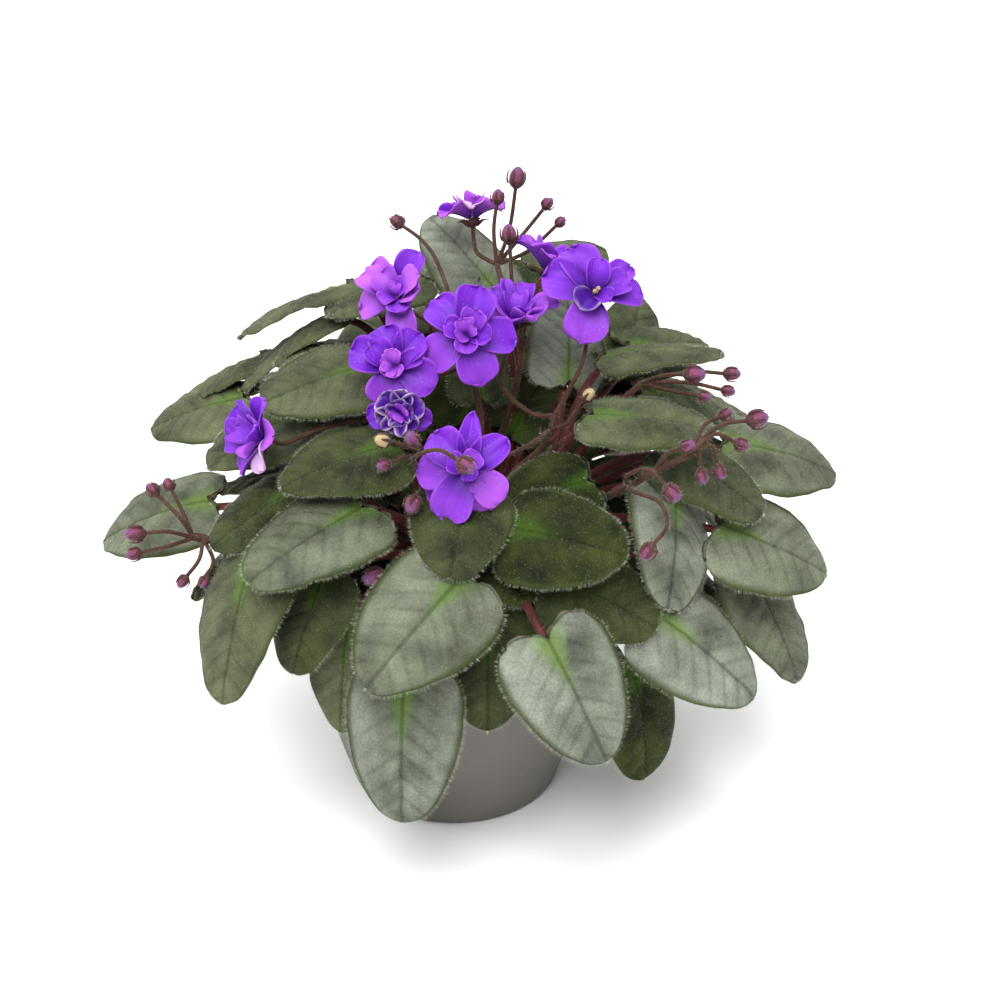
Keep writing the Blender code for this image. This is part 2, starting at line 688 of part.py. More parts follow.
def bud(name, spot, axis, length, collection, skin):
    """A drop-shaped bud at this spot, along this axis."""
    form = bmesh.new()
    bmesh.ops.create_uvsphere(form, u_segments=5, v_segments=3, radius=0.5)
    turn = axis.to_track_quat("Z", "Y").to_matrix().to_4x4()
    size = Matrix.Diagonal((0.78, 0.78, 1, 1)) * (length * MM)
    size[3][3] = 1
    bmesh.ops.transform(form, verts=form.verts, matrix=Matrix.Translation(spot) @ turn @ size)
    mesh = bpy.data.meshes.new(name)
    form.to_mesh(mesh)
    form.free()
    return new_object(name, mesh, collection, skin)


def bloom_foot(flower):
    """The last two points of a stalk that carries this bloom, just clear of its cup."""
    frame = bloom_frame(flower)
    back = CUP_LENGTH - CUP_RISE + GAP
    return [frame @ Vector((0, 0, -back - 4 * MM)), frame @ Vector((0, 0, -back))]


def metres(points):
    return [Vector(point) * MM for point in points]


def stalk(name, points, collection, skin):
    """A thin stalk through these points, thicker at its root."""
    radii = [PEDICEL_RADIUS * 1.2] + [PEDICEL_RADIUS] * (len(points) - 1)
    return tube(name, points, radii, collection, skin, 1)


def budded(name, points, length, collection, skin):
    """A stalk through these points, with a bud of this length in mm on its end."""
    stalk(name, points, collection, skin)
    axis = (points[-1] - points[-2]).normalized()
    bud(name + "_bud", points[-1] + axis * length * 0.4 * MM, axis, length, collection, skin)


def spray(plan, blooms, parent, skin):
    members = new_collection(plan.node + "_members", parent)
    forks = metres(plan.fork)
    stem_end = Vector(plan.stem[-1]) * MM
    forks[0] = stem_end + (forks[0] - stem_end).normalized() * STEM_GAP
    tube("rachis", forks, [PEDUNCLE_RADIUS] * len(forks), members, skin, 1)
    for index, plan_row in enumerate(plan.pedicels):
        points = [forks[plan_row.fork], *metres(plan_row.path)]
        if plan_row.fork == 0:
            points[0] = forks[0].lerp(forks[1], FIRST_FORK)
        if plan_row.bloom:
            stalk(f"pedicel_{index + 1}", points + bloom_foot(blooms[plan_row.bloom]), members, skin)
        else:
            budded(f"pedicel_{index + 1}", points, plan_row.bud, members, skin)
    return fuse(plan.node, members, parent, skin)


def set_plant(collection):
    """Moves all but the pot and the soil from the pot's axis to where the trunk stands."""
    for made in collection.objects:
        if made.name not in ("pot", "soil"):
            made.matrix_world = Matrix.Translation(PLANT_SHIFT) @ made.matrix_world


def main():
    clear_scene()
    scene = bpy.context.scene.collection
    parts = new_collection(NAME, scene)
    cutters = new_collection("cutters", scene)
    grey = material("pot_grey", (0.16, 0.15, 0.135), 0.6)
    earth = material("soil_dark", (0.035, 0.022, 0.014), 0.95)
    maroon = material("stalk_maroon", (0.09, 0.018, 0.014), 0.6)
    green = material("leaf_green", (0.13, 0.16, 0.09), 0.6)
    pot(parts, cutters, grey)
    soil(parts, earth)
    violet = material("petal_violet", (0.17, 0.03, 0.62), 0.5)
    rose = material("bud_rose", (0.2, 0.06, 0.09), 0.6)
    blooms = {flower.node: flower for flower in BLOOMS}
    crown(blooms, parts, maroon)
    leaf_nodes(parts, green)
    for flower in BLOOMS:
        bloom(flower, parts, violet)
    for stalk in SPRAYS:
        spray(stalk, blooms, parts, rose)
    set_plant(parts)


main()
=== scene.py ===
"""Dressed model of a potted African violet: real leaves, blooms, buds, soil and pot on the solids.

Lengths are in metres and +Z is up. Rows of the planting plan are in millimetres and degrees: an
azimuth or heading of 0 points along +X, and 90 points to the back of the plant.
"""

import json
import logging
import math
import random
from collections.abc import Iterable, Sequence
from dataclasses import dataclass
from enum import Enum

import bmesh
import bpy
from bmesh.types import BMEdge, BMFace, BMLayerItem, BMVert, BMesh
from bpy.types import ID, Material, Mesh, Node, NodeSocket, NodeTree, Object, bpy_prop_collection
from mathutils import Matrix, Vector, noise
from mathutils.geometry import interpolate_bezier

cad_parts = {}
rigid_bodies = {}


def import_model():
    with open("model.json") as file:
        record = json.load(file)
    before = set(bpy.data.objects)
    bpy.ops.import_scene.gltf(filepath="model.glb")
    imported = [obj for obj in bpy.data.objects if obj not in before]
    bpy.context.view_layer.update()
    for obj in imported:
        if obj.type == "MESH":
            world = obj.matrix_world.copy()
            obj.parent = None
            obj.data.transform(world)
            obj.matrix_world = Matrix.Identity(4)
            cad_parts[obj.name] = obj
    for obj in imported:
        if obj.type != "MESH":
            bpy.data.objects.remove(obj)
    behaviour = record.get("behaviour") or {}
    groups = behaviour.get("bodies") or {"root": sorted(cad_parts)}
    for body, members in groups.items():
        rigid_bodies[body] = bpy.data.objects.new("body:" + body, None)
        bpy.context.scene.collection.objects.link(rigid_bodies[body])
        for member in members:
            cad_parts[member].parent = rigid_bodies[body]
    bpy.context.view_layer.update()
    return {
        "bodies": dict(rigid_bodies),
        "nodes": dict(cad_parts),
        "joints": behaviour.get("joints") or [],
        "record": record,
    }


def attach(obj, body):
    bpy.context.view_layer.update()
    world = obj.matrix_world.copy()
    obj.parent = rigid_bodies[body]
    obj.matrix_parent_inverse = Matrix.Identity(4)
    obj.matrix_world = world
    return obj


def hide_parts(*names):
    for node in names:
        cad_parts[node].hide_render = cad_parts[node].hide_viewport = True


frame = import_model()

MM = 0.001
LOG = logging.getLogger("violet")

Colour = tuple[float, float, float]


class Slot(Enum):
    """The material slots of the part's record."""

    POT = "pot"
    SOIL = "soil"
    STALK = "stalk"
    LEAF = "leaf"
    PETAL = "petal"
    BUD = "bud"


# ---- The planting plan: the solids' own rows, and the filler leaves ----


@dataclass(frozen=True)
class LeafPlan:
    """One blade: where its stalk ends, which way its midrib points, and its size."""

    node: str
    azimuth: float
    reach: float
    height: float
    heading: float
    pitch: float
    roll: float
    length: float
    width: float
    droop: float = 30
    arch: float = 0.10


def leaves(*rows: Sequence) -> tuple[LeafPlan, ...]:
    """Reads rows of the plan, each with the fields of a LeafPlan in their order."""
    return tuple(LeafPlan(*row) for row in rows)


SKIRT = leaves(
    ("leaf_01", -104, 77, 80, -100, -62, 0, 44, 33),
    ("leaf_02", -92, 67, 111, -128, -14, 0, 41, 35),
    ("leaf_03", -84, 60, 94, -88, -55, 0, 34, 28),
    ("leaf_04", -73, 82, 98, -48, -42, 0, 39, 33),
    ("leaf_05", -49, 76, 75, -50, -62, 0, 38, 28),
    ("leaf_06", -45, 80, 93, -15, -28, 0, 41, 34),
    ("leaf_07", -10, 90, 84, -52, -30, 20, 38, 31),
    ("leaf_08", -141, 83, 109, -114, -36, 0, 42, 31),
    ("leaf_09", -129, 69, 103, -118, -32, 0, 29, 25),
    ("leaf_10", -123, 65, 91, -112, -55, 0, 35, 27),
    ("leaf_11", -166, 83, 111, 176, -8, 0, 39, 32, 38),
)
MIDDLE = leaves(
    ("leaf_12", -63, 60, 104, -25, -8, 0, 33, 28),
    ("leaf_13", -74, 52, 119, -25, 8, 0, 34, 32),
    ("leaf_14", -90, 40, 126, -98, -6, 0, 32, 28),
    ("leaf_15", -82, 50, 107, -55, -5, 0, 19, 16),
    ("leaf_16", -124, 56, 124, -142, -2, 0, 41, 31),
    ("leaf_17", -128, 38, 136, -152, 6, 0, 34, 31),
    ("leaf_18", 180, 31, 148, -155, 4, -15, 35, 32),
    ("leaf_19", -150, 56, 122, -150, -6, 0, 35, 31),
    ("leaf_19", -166, 34, 130, -140, -2, 0, 32, 28),
    ("leaf_21", 178, 48, 134, -150, -4, -10, 38, 36),
    ("leaf_22", 163, 76, 125, -175, -3, -20, 31, 32),
    ("leaf_22", 147, 82, 129, -165, -12, -5, 34, 30),
    ("leaf_23", 130, 62, 153, -168, -6, 0, 38, 28),
    ("leaf_23", 113, 48, 158, -145, 5, -15, 32, 28),
    ("leaf_22", 150, 46, 142, -172, 8, -10, 22, 18),
    ("leaf_22", 135, 60, 146, -160, -15, 0, 40, 30),
)
TOP = leaves(
    ("leaf_25", 78, 44, 152, 138, 46, -30, 34, 30),
    ("leaf_25", 88, 47, 156, 165, 10, -20, 26, 24),
    ("leaf_26", 66, 62, 154, 40, 14, 30, 26, 24),
    ("leaf_27", 26, 35, 135, 78, 56, 0, 29, 26),
    ("leaf_28", 36, 62, 129, 66, 40, 0, 28, 23),
    ("leaf_28", 33, 62, 138, 20, 6, 15, 28, 28),
    ("leaf_29", 21, 47, 143, 4, 14, -5, 36, 27),
    ("leaf_30", -26, 43, 141, -12, 12, -8, 36, 31),
    ("leaf_31", 0, 82, 121, 4, -6, 8, 37, 35),
    ("leaf_20", 12, 58, 133, 8, -6, 0, 30, 26),
    ("leaf_32", -15, 64, 127, -28, -8, 10, 34, 29),
    ("leaf_33", -23, 69, 118, -86, -22, 0, 39, 29),
    ("leaf_34", -21, 84, 108, -5, -14, 10, 36, 35),
    ("leaf_35", -38, 46, 123, -150, 5, 0, 27, 26),
    ("leaf_36", 60, 8, 133, 95, 60, 0, 22, 18),
)
BACK = leaves(
    ("leaf_37", 36, 78, 117, 34, -15, 0, 42, 38),
    ("leaf_37", 56, 76, 117, 56, -16, 0, 42, 40),
    ("leaf_38", 86, 76, 120, 88, -18, 0, 42, 38),
    ("leaf_38", 109, 76, 121, 112, -16, 0, 42, 38),
    ("leaf_38", 132, 78, 119, 136, -18, 0, 42, 38),
    ("leaf_39", 22, 75, 93, 20, -43, 0, 38, 36),
    ("leaf_39", 42, 74, 93, 42, -45, 0, 40, 38),
    ("leaf_24", 74, 70, 90, 74, -48, 0, 40, 38),
    ("leaf_24", 98, 70, 91, 98, -46, 0, 40, 38),
    ("leaf_24", 122, 71, 90, 122, -46, 0, 40, 38),
    ("leaf_24", 146, 70, 91, 146, -44, 0, 38, 37),
)
# Filler leaves in the heart and at the back, which the solids don't have.
YOUNG = leaves(
    ("crown", 90, 22, 118, 92, 36, 0, 29, 25),
    ("crown", 58, 26, 112, 60, 40, 0, 29, 25),
    ("crown", 122, 26, 112, 120, 40, 0, 30, 26),
    ("crown", 33, 30, 108, 35, 35, 0, 28, 24),
    ("crown", 152, 30, 108, 150, 32, 0, 30, 26),
    ("crown", 8, 32, 104, 8, 22, 0, 27, 23),
    ("crown", -170, 30, 106, -172, 24, 0, 28, 24),
    ("crown", -30, 30, 104, -36, 16, 0, 22, 19),
    ("crown", -62, 24, 106, -70, 20, 0, 18, 15),
    ("crown", 90, 38, 95, 90, 10, 0, 31, 28),
    ("crown", 58, 38, 95, 56, 10, 0, 31, 28),
    ("crown", 122, 38, 95, 124, 10, 0, 31, 28),
    ("crown", 26, 38, 93, 24, 8, 0, 30, 27),
    ("crown", 156, 38, 93, 158, 8, 0, 30, 27),
    ("crown", -18, 67, 89, -30, -20, 0, 30, 27),
    ("crown", -9, 38, 92, -12, -4, 0, 34, 30),
    ("crown", 16, 38, 92, 14, 0, 0, 32, 28),
    ("crown", 22, 70, 106, 22, -6, 0, 30, 28),
    ("crown", 53, 61, 107, 50, 10, 0, 36, 32),
    ("crown", 77, 76, 135, 80, 18, 0, 28, 26),
    ("crown", 76, 60, 116, 78, 32, 0, 38, 34),
    ("crown", 104, 56, 118, 108, 24, 0, 38, 34),
    ("crown", 120, 58, 130, 150, 0, 0, 36, 32),
    ("crown", 137, 68, 119, 160, 0, 0, 28, 25),
    ("crown", 163, 48, 104, 175, 0, 0, 36, 32),
    ("crown", -168, 66, 92, -165, -18, 0, 28, 25),
    ("crown", 172, 14, 102, 175, 10, 0, 20, 17),
    ("crown_back", 52, 54, 128, 50, 4, 8, 32, 30),
    ("crown_back", 70, 50, 136, 68, 12, -6, 30, 28),
    ("crown_back", 94, 50, 137, 92, 8, 5, 32, 30),
    ("crown_back", 116, 52, 133, 120, 6, -8, 32, 30),
    ("crown_back", 137, 50, 128, 139, 2, 6, 32, 29),
    ("crown_back", 84, 62, 107, 80, -24, 10, 30, 27),
    ("crown_back", 118, 60, 106, 121, -18, -6, 27, 24),
    ("crown_back", 144, 60, 108, 148, -22, -8, 28, 25),
    ("crown_back", 47, 62, 106, 43, -26, 6, 30, 26),
)

# How much painted silvery sheen, a painted highlight, a leaf gets, from 0, dark and glossy, to 4:
# strong on leaves that face the lamps, slight on shaded ones such as the filler leaves of the
# heart.
# A leaf that isn't named has 2.
SHEEN_LEVEL = {
    "leaf_01": 4,
    "leaf_02": 3,
    "leaf_03": 1,
    "leaf_04": 4,
    "leaf_05": 0,
    "leaf_06": 4,
    "leaf_07": 3,
    "leaf_08": 2,
    "leaf_09": 1,
    "leaf_11": 3,
    "leaf_12": 1,
    "leaf_13": 0,
    "leaf_14": 1,
    "leaf_15": 0,
    "leaf_16": 3,
    "leaf_17": 1,
    "leaf_18": 2,
    "leaf_19": 1,
    "leaf_25": 4,
    "leaf_27": 4,
    "leaf_31": 3,
    "leaf_33": 4,
    "leaf_34": 3,
    "leaf_35": 0,
    "crown": 0,
    "crown_back": 2,
}


@dataclass(frozen=True)
class BloomPlan:
    """One flower: the middle of its face, and which way it looks."""

    node: str
    middle: tuple[float, float, float]
    heading: float
    pitch: float


BLOOMS = (
    BloomPlan("bloom_01", (-22, 6, 169), -115, 48),
    BloomPlan("bloom_02", (0, -13, 165), -88, 42),
    BloomPlan("bloom_03", (15, 6, 161), -70, 80),
    BloomPlan("bloom_04", (-22, -16, 156), -100, 38),
    BloomPlan("bloom_05", (-20, -27, 146), -95, 25),
    BloomPlan("bloom_06", (0, -46, 137), -92, 35),
    BloomPlan("bloom_07", (-62, -25, 136), -165, 20),
    BloomPlan("bloom_08", (1, 50, 176), 100, 60),
    BloomPlan("bloom_09", (25, 24, 170), 40, 66),
    BloomPlan("bloom_10", (39, 2, 172), -75, 48),
)


@dataclass(frozen=True)
class Pedicel:
    """A flower's or bud's own stalk: the fork that it leaves from, and the points it follows."""

    fork: int
    path: tuple[tuple[float, float, float], ...]
    bud: float = 0
    bloom: str = ""
    cream: bool = False


@dataclass(frozen=True)
class SprayPlan:
    """A flower stalk: its stem from the crown, its forks, and the pedicels that it carries."""

    node: str
    stem: tuple[tuple[float, float, float], ...]
    fork: tuple[tuple[float, float, float], ...]
    pedicels: tuple[Pedicel, ...]


SPRAYS = (
    SprayPlan(
        "spray_01",
        ((5, -3, 96), (15, -10, 116), (24, -12, 127)),
        ((24, -12, 128), (27, -8, 135)),
        (
            Pedicel(1, ((31, -6, 142), (36, -3, 153)), bloom="bloom_10"),
            Pedicel(1, ((20, -7, 135), (11, -4, 142), (11, 0, 149)), bloom="bloom_03"),
            Pedicel(0, ((20, -26, 135), (12, -34, 135)), bloom="bloom_06"),
            Pedicel(0, ((31, -13, 135), (36, -15, 144)), bud=5.5, cream=True),
        ),
    ),
    SprayPlan(
        "spray_02",
        ((3, 6, 96), (12, 8, 125), (17, 10, 149)),
        ((17, 10, 150), (12, 22, 161), (9, 36, 166)),
        (
            Pedicel(0, ((14, 18, 164), (13, 26, 178)), bud=7),
            Pedicel(0, ((22, 16, 160),), bloom="bloom_09"),
            Pedicel(2, ((13, 41, 176), (15, 45, 189)), bud=7.5),
            Pedicel(2, ((8, 40, 176), (9, 43, 184)), bud=5.5),
            Pedicel(2, ((17, 43, 173), (24, 46, 181)), bud=5),
            Pedicel(2, ((19, 42, 168), (28, 44, 176)), bud=4.5),
            Pedicel(2, ((3, 42, 167),), bloom="bloom_08"),
        ),
    ),
    SprayPlan(
        "spray_03",
        ((0, -3, 96), (4, -7, 125), (2, -6, 145)),
        ((2, -6, 146), (-4, 0, 156)),
        (
            Pedicel(1, ((-5, 9, 165), (-10, 22, 174), (-15, 29, 178), (-21, 35, 180)), bud=6),
            Pedicel(1, ((-12, 6, 160),), bloom="bloom_01"),
            Pedicel(0, ((2, -7, 153),), bloom="bloom_02"),
            Pedicel(0, ((-12, -8, 148),), bloom="bloom_04"),
        ),
    ),
    SprayPlan(
        "spray_04",
        ((-3, -6, 96), (-8, -22, 114), (-12, -34, 126)),
        ((-12, -34, 127), (-13, -36, 136)),
        (
            Pedicel(1, ((-17, -30, 139),), bloom="bloom_05"),
            Pedicel(1, ((-18, -37, 140), (-23, -40, 143)), bud=6, cream=True),
            Pedicel(1, ((-18, -40, 138), (-23, -44, 138)), bud=5),
            Pedicel(1, ((-13, -39, 140), (-15, -42, 144)), bud=6.5),
            Pedicel(0, ((-15, -43, 136), (-15, -47, 142), (-8, -52, 147), (-2, -57, 146)), bud=7),
            Pedicel(0, ((-13, -42, 130), (-15, -47, 128)), bud=7),
        ),
    ),
    SprayPlan(
        "spray_05",
        ((8, -5, 96), (28, -16, 108), (44, -30, 119)),
        ((44, -30, 120), (56, -39, 132), (67, -40, 139)),
        (
            Pedicel(2, ((75, -34, 145), (84, -34, 147)), bud=7.5),
            Pedicel(2, ((71, -32, 144), (76, -30, 146)), bud=5),
            Pedicel(2, ((74, -37, 144), (80, -38, 142)), bud=5.5),
            Pedicel(2, ((73, -38, 141), (75, -41, 136)), bud=5.5),
            Pedicel(2, ((69, -38, 140), (70, -42, 135)), bud=5.5),
            Pedicel(1, ((60, -40, 139), (64, -42, 142)), bud=5.5),
            Pedicel(0, ((48, -41, 132), (54, -46, 137), (59, -51, 134)), bud=7),
            Pedicel(0, ((50, -47, 130), (57, -55, 131), (59, -62, 127), (55, -64, 122)), bud=6.5),
        ),
    ),
    SprayPlan(
        "spray_06",
        ((8, 0, 96), (26, -1, 118), (44, -1, 133)),
        ((44, -1, 134), (54, -2, 143)),
        (
            Pedicel(1, ((61, -6, 148), (67, -8, 149)), bud=7.5),
            Pedicel(1, ((68, -6, 149), (79, -7, 149)), bud=6),
            Pedicel(1, ((67, -9, 147), (78, -12, 146)), bud=5),
            Pedicel(1, ((63, -9, 144), (71, -14, 145)), bud=4.5),
        ),
    ),
    SprayPlan(
        "spray_07",
        ((-8, -4, 94), (-34, -14, 102), (-60, -26, 104), (-78, -38, 108)),
        ((-79, -39, 109), (-83, -42, 111)),
        (
            Pedicel(1, ((-87, -40, 117), (-94, -35, 122)), bud=5.5),
            Pedicel(1, ((-86, -38, 117), (-90, -32, 122)), bud=5),
            Pedicel(1, ((-90, -45, 115), (-97, -46, 115)), bud=7),
            Pedicel(1, ((-90, -47, 111), (-98, -49, 110)), bud=5.5),
            Pedicel(0, ((-81, -46, 106), (-85, -48, 101)), bud=5),
            Pedicel(0, ((-77, -45, 105), (-79, -48, 101)), bud=4.5),
        ),
    ),
)
STEM_GAP = 1.2 * MM  # between a stem's end and the middle of the spray's first fork
FIRST_FORK = 0.4  # how far along a spray's first span its lowest pedicels leave it
LONE_BLOOM = "bloom_07"
LONE_BLOOM_STEM = ((-7, 0, 96), (-14, -4, 118), (-28, -10, 134), (-44, -16, 135))
LONE_BUD_STEM = ((-1, -8, 94), (-10, -28, 104), (-20, -48, 106), (-26, -56, 107))
LONE_BUD = 8  # mm long
SPRAY_ROOT = Vector((0, 0, 88 * MM))  # where every flower stalk starts, inside the trunk

POT_HEIGHT = 70 * MM
POT_FOOT_RADIUS = 34 * MM
POT_RIM_RADIUS = 54.5 * MM
SOIL_TOP = 62 * MM
PLANT_SHIFT = Vector((5, 5, 0)) * MM  # where the trunk stands, from the pot's middle

VEINS = 6.0  # side veins in the length of a blade
VEIN_LEAN = 1.9  # how far a vein leans forward by the margin, in spacings of veins
VEIN_BEND = 1.1  # above 1, a vein leans more the further it is from the midrib

# The second number of a blade's points is the share along it plus PACK_SHIFT, and PACK_STEP more
# for each step of painted sheen. The third is raised by UNDER_MARK on the under side.
PACK_SHIFT = 0.5
PACK_STEP = 4.0
MOST_SHEEN_LEVEL = 4.0
UNDER_MARK = 6


# ---- Small geometry helpers ----


def aimed(heading: float, pitch: float) -> Vector:
    """Gives the unit vector at a heading and a pitch.

    Args:
        heading: Degrees round +Z from +X.
        pitch: Degrees above the level.

    Returns:
        The unit vector.
    """
    turn, rise = math.radians(heading), math.radians(pitch)
    level = math.cos(rise)
    return Vector((math.cos(turn) * level, math.sin(turn) * level, math.sin(rise)))


def polar(azimuth: float, reach: float, height: float) -> Vector:
    """Gives the point at an azimuth in degrees, and a reach and height in millimetres."""
    turn = math.radians(azimuth)
    return Vector((reach * math.cos(turn), reach * math.sin(turn), height)) * MM


def metres(points: Iterable[Sequence[float]]) -> list[Vector]:
    """Turns points in millimetres into vectors in metres."""
    return [Vector(point) * MM for point in points]


def smooth_step(value: float) -> float:
    """Eases a value from 0 to 1, held at both ends."""
    held = min(max(value, 0.0), 1.0)
    return held * held * (3 - 2 * held)


def smooth_path(points: Sequence[Vector], steps: int) -> list[Vector]:
    """Runs a smooth curve through points.

    Args:
        points: The points, in order.
        steps: Spans between two neighbouring points.

    Returns:
        The points of the curve, its given points among them.
    """
    path = [points[0]]
    for index in range(len(points) - 1):
        here, there = points[index], points[index + 1]
        before = points[max(index - 1, 0)]
        after = points[min(index + 2, len(points) - 1)]
        leave = here + (there - before) / 6
        arrive = there - (after - here) / 6
        path += interpolate_bezier(here, leave, arrive, there, steps + 1)[1:]
    return path


def frames_along(path: Sequence[Vector]) -> list[Matrix]:
    """Carries a frame along a path without twist.

    Args:
        path: Points of the path.

    Returns:
        A matrix for each point, with its Z along the path.
    """
    placed = []
    turn = None
    for index, point in enumerate(path):
        ahead = path[min(index + 1, len(path) - 1)] - path[max(index - 1, 0)]
        if turn is None:
            turn = ahead.to_track_quat("Z", "Y")
        else:
            turn = (turn @ Vector((0, 0, 1))).rotation_difference(ahead) @ turn
        placed.append(Matrix.Translation(point) @ turn.to_matrix().to_4x4())
    return placed


def points_of(parts: Iterable[object]) -> list[BMVert]:
    """Picks the points out of what a mesh operator made."""
    return [part for part in parts if isinstance(part, BMVert)]


def mesh_of(form: BMesh, name: str) -> Mesh:
    """Turns a finished form into a mesh, and frees the form.

    Args:
        form: The form.
        name: The mesh's name.

    Returns:
        The mesh.
    """
    mesh = bpy.data.meshes.new(name)
    form.to_mesh(mesh)
    form.free()
    return mesh


def in_scene(name: str, data: ID) -> Object:
    """Makes an object of a mesh, a lamp or a camera, and links it to the scene.

    Args:
        name: The object's name.
        data: What it shows.

    Returns:
        The object.
    """
    made = bpy.data.objects.new(name, data)
    bpy.context.scene.collection.objects.link(made)
    return made


class Surface:
    """A mesh under construction that carries one vector per point for its material to read."""

    def __init__(self, attribute: str) -> None:
        """Starts an empty mesh.

        Args:
            attribute: The name of the vector attribute.
        """
        self.form = bmesh.new()
        self.attribute = attribute
        self.mark = self.form.verts.layers.float_vector.new(attribute)

    def part(self) -> tuple[BMesh, BMLayerItem]:
        """Starts a small mesh that this one can take in, and gives it with its vector's layer."""
        work = bmesh.new()
        return work, work.verts.layers.float_vector.new(self.attribute)

    def tube(
        self,
        path: Sequence[Vector],
        radii: Sequence[float],
        sides: int = 8,
        kind: float = 0.0,
        dome: bool = True,
    ) -> list[BMVert]:
        """Sweeps a circle along a path.

        Args:
            path: Points of the middle line.
            radii: The radius at each point.
            sides: Sides of the circle.
            kind: What the material reads as the third number.
            dome: Whether the far end is drawn to a rounded tip.

        Returns:
            The new points.
        """
        work, mark = self.part()
        places = frames_along(path)
        ring = bmesh.ops.create_circle(work, segments=sides, radius=1)["verts"]
        edges = list(work.edges)
        sizes = [Matrix.Diagonal((radius, radius, radius, 1)) for radius in radii]
        last = places[0] @ sizes[0]
        bmesh.ops.transform(work, matrix=last, verts=ring)
        for vert in ring:
            vert[mark] = (0, 0, kind)
        stops = list(zip(places[1:], sizes[1:]))
        if dome:
            tip = places[-1] @ Matrix.Translation((0, 0, radii[-1] * 0.6)) @ sizes[-1]
            stops.append((tip @ Matrix.Scale(0.45, 4), Matrix.Identity(4)))
        for index, (place, size) in enumerate(stops):
            grown = bmesh.ops.extrude_edge_only(work, edges=edges)["geom"]
            ring = points_of(grown)
            held = set(ring)
            edges = [
                part
                for part in grown
                if isinstance(part, BMEdge) and held.issuperset(part.verts)
            ]
            here = place @ size
            bmesh.ops.transform(work, matrix=here @ last.inverted(), verts=ring)
            last = here
            for vert in ring:
                vert[mark] = ((index + 1) / len(stops), 0, kind)
        rims = [edge for edge in work.edges if edge.is_boundary]
        bmesh.ops.edgeloop_fill(work, edges=rims)
        bmesh.ops.recalc_face_normals(work, faces=work.faces)
        return self.absorb(work)

    def absorb(self, work: BMesh) -> list[BMVert]:
        """Takes in a small mesh that has the same attribute, and frees it.

        Args:
            work: The small mesh.

        Returns:
            Its points, as they now are in this mesh.
        """
        scrap = mesh_of(work, "scrap")
        first = len(self.form.verts)
        self.form.from_mesh(scrap)
        bpy.data.meshes.remove(scrap)
        self.form.verts.ensure_lookup_table()
        return self.form.verts[first:]

    def finish(
        self,
        name: str,
        skin: Material,
        slot: Slot,
        nodes: Sequence[str] = (),
        place: Vector = PLANT_SHIFT,
    ) -> Object:
        """Makes the object, and fixes it to the plant.

        Args:
            name: The piece's name.
            skin: Its material.
            slot: A slot of the record; not used.
            nodes: The solids that it stands for.
            place: Where the middle of its plan stands.

        Returns:
            The finished piece.
        """
        bmesh.ops.translate(self.form, verts=self.form.verts, vec=place)
        mesh = mesh_of(self.form, name)
        mesh.shade_smooth()
        mesh.materials.append(skin)
        piece = in_scene(name, mesh)
        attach(piece, "root")
        if nodes:
            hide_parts(*nodes)
        LOG.info("%s: %d faces", name, len(mesh.polygons))
        return piece


# ---- Materials ----


class NodeSheet:
    """A node tree being laid out."""

    def __init__(self, tree: NodeTree) -> None:
        """Keeps the tree that nodes are added to."""
        self.tree = tree

    def node(self, kind: str, feeds: dict | None = None, **settings: object) -> Node:
        """Adds a node.

        Args:
            kind: The node's type, without ShaderNode.
            feeds: What goes into its inputs: a socket, or a plain value.
            settings: Other properties of the node.

        Returns:
            The node.
        """
        made = self.tree.nodes.new("ShaderNode" + kind)
        for key, value in settings.items():
            setattr(made, key, value)
        for key, value in (feeds or {}).items():
            self.feed(made.inputs[key], value)
        return made

    def feed(self, socket: NodeSocket, value: object) -> None:
        """Links a socket, or sets a plain value, into an input.

        Args:
            socket: The input.
            value: The socket or the plain value.
        """
        if isinstance(value, NodeSocket):
            self.tree.links.new(value, socket)
        elif hasattr(value, "__len__") and len(value) == 3 and socket.type == "RGBA":
            socket.default_value = (*value, 1.0)
        else:
            socket.default_value = value

    def math(self, operation: str, *values: object, clamp: bool = False) -> NodeSocket:
        """Adds a Math node and gives its output.

        Args:
            operation: The sum that it does.
            values: Its inputs, in order.
            clamp: Whether the result is held from 0 to 1.

        Returns:
            The output socket.
        """
        feeds = dict(enumerate(values))
        return self.node("Math", feeds, operation=operation, use_clamp=clamp).outputs[0]

    def times(self, first: object, second: object) -> NodeSocket:
        """Multiplies two values, and gives the output socket."""
        return self.math("MULTIPLY", first, second)

    def mix(self, share: object, first: object, second: object) -> NodeSocket:
        """Mixes two colours by a share of the second, and gives the output socket."""
        feeds = {0: share, 6: first, 7: second}
        return self.node("Mix", feeds, data_type="RGBA", clamp_factor=True).outputs[2]

    def band(self, value: object, low: float, high: float) -> NodeSocket:
        """Eases from 0 at low to 1 at high, and gives the output socket."""
        feeds = {"Value": value, "From Min": low, "From Max": high}
        return self.node("MapRange", feeds, interpolation_type="SMOOTHSTEP").outputs["Result"]

    def split(self, vector: object) -> list[NodeSocket]:
        """Splits a vector, and gives its three output sockets."""
        return list(self.node("SeparateXYZ", {"Vector": vector}).outputs)

    def attribute(self, name: str) -> list[NodeSocket]:
        """Reads a mesh's vector attribute, and gives its three numbers."""
        return self.split(self.node("Attribute", attribute_name=name).outputs["Vector"])

    def place(self) -> NodeSocket:
        """Gives the Object coordinates."""
        return self.node("TexCoord").outputs["Object"]

    def noise(self, place: object, scale: float, detail: float = 2.0) -> NodeSocket:
        """Adds a noise of a scale in turns per metre, and gives its value."""
        feeds = {"Vector": place, "Scale": scale, "Detail": detail}
        return self.node("TexNoise", feeds).outputs["Fac"]


class Effect(Enum):
    """The shared effects, each a node group that is built once."""

    MOTTLE = "mottle"
    FELT = "felt"
    SPARKLE = "sparkle"


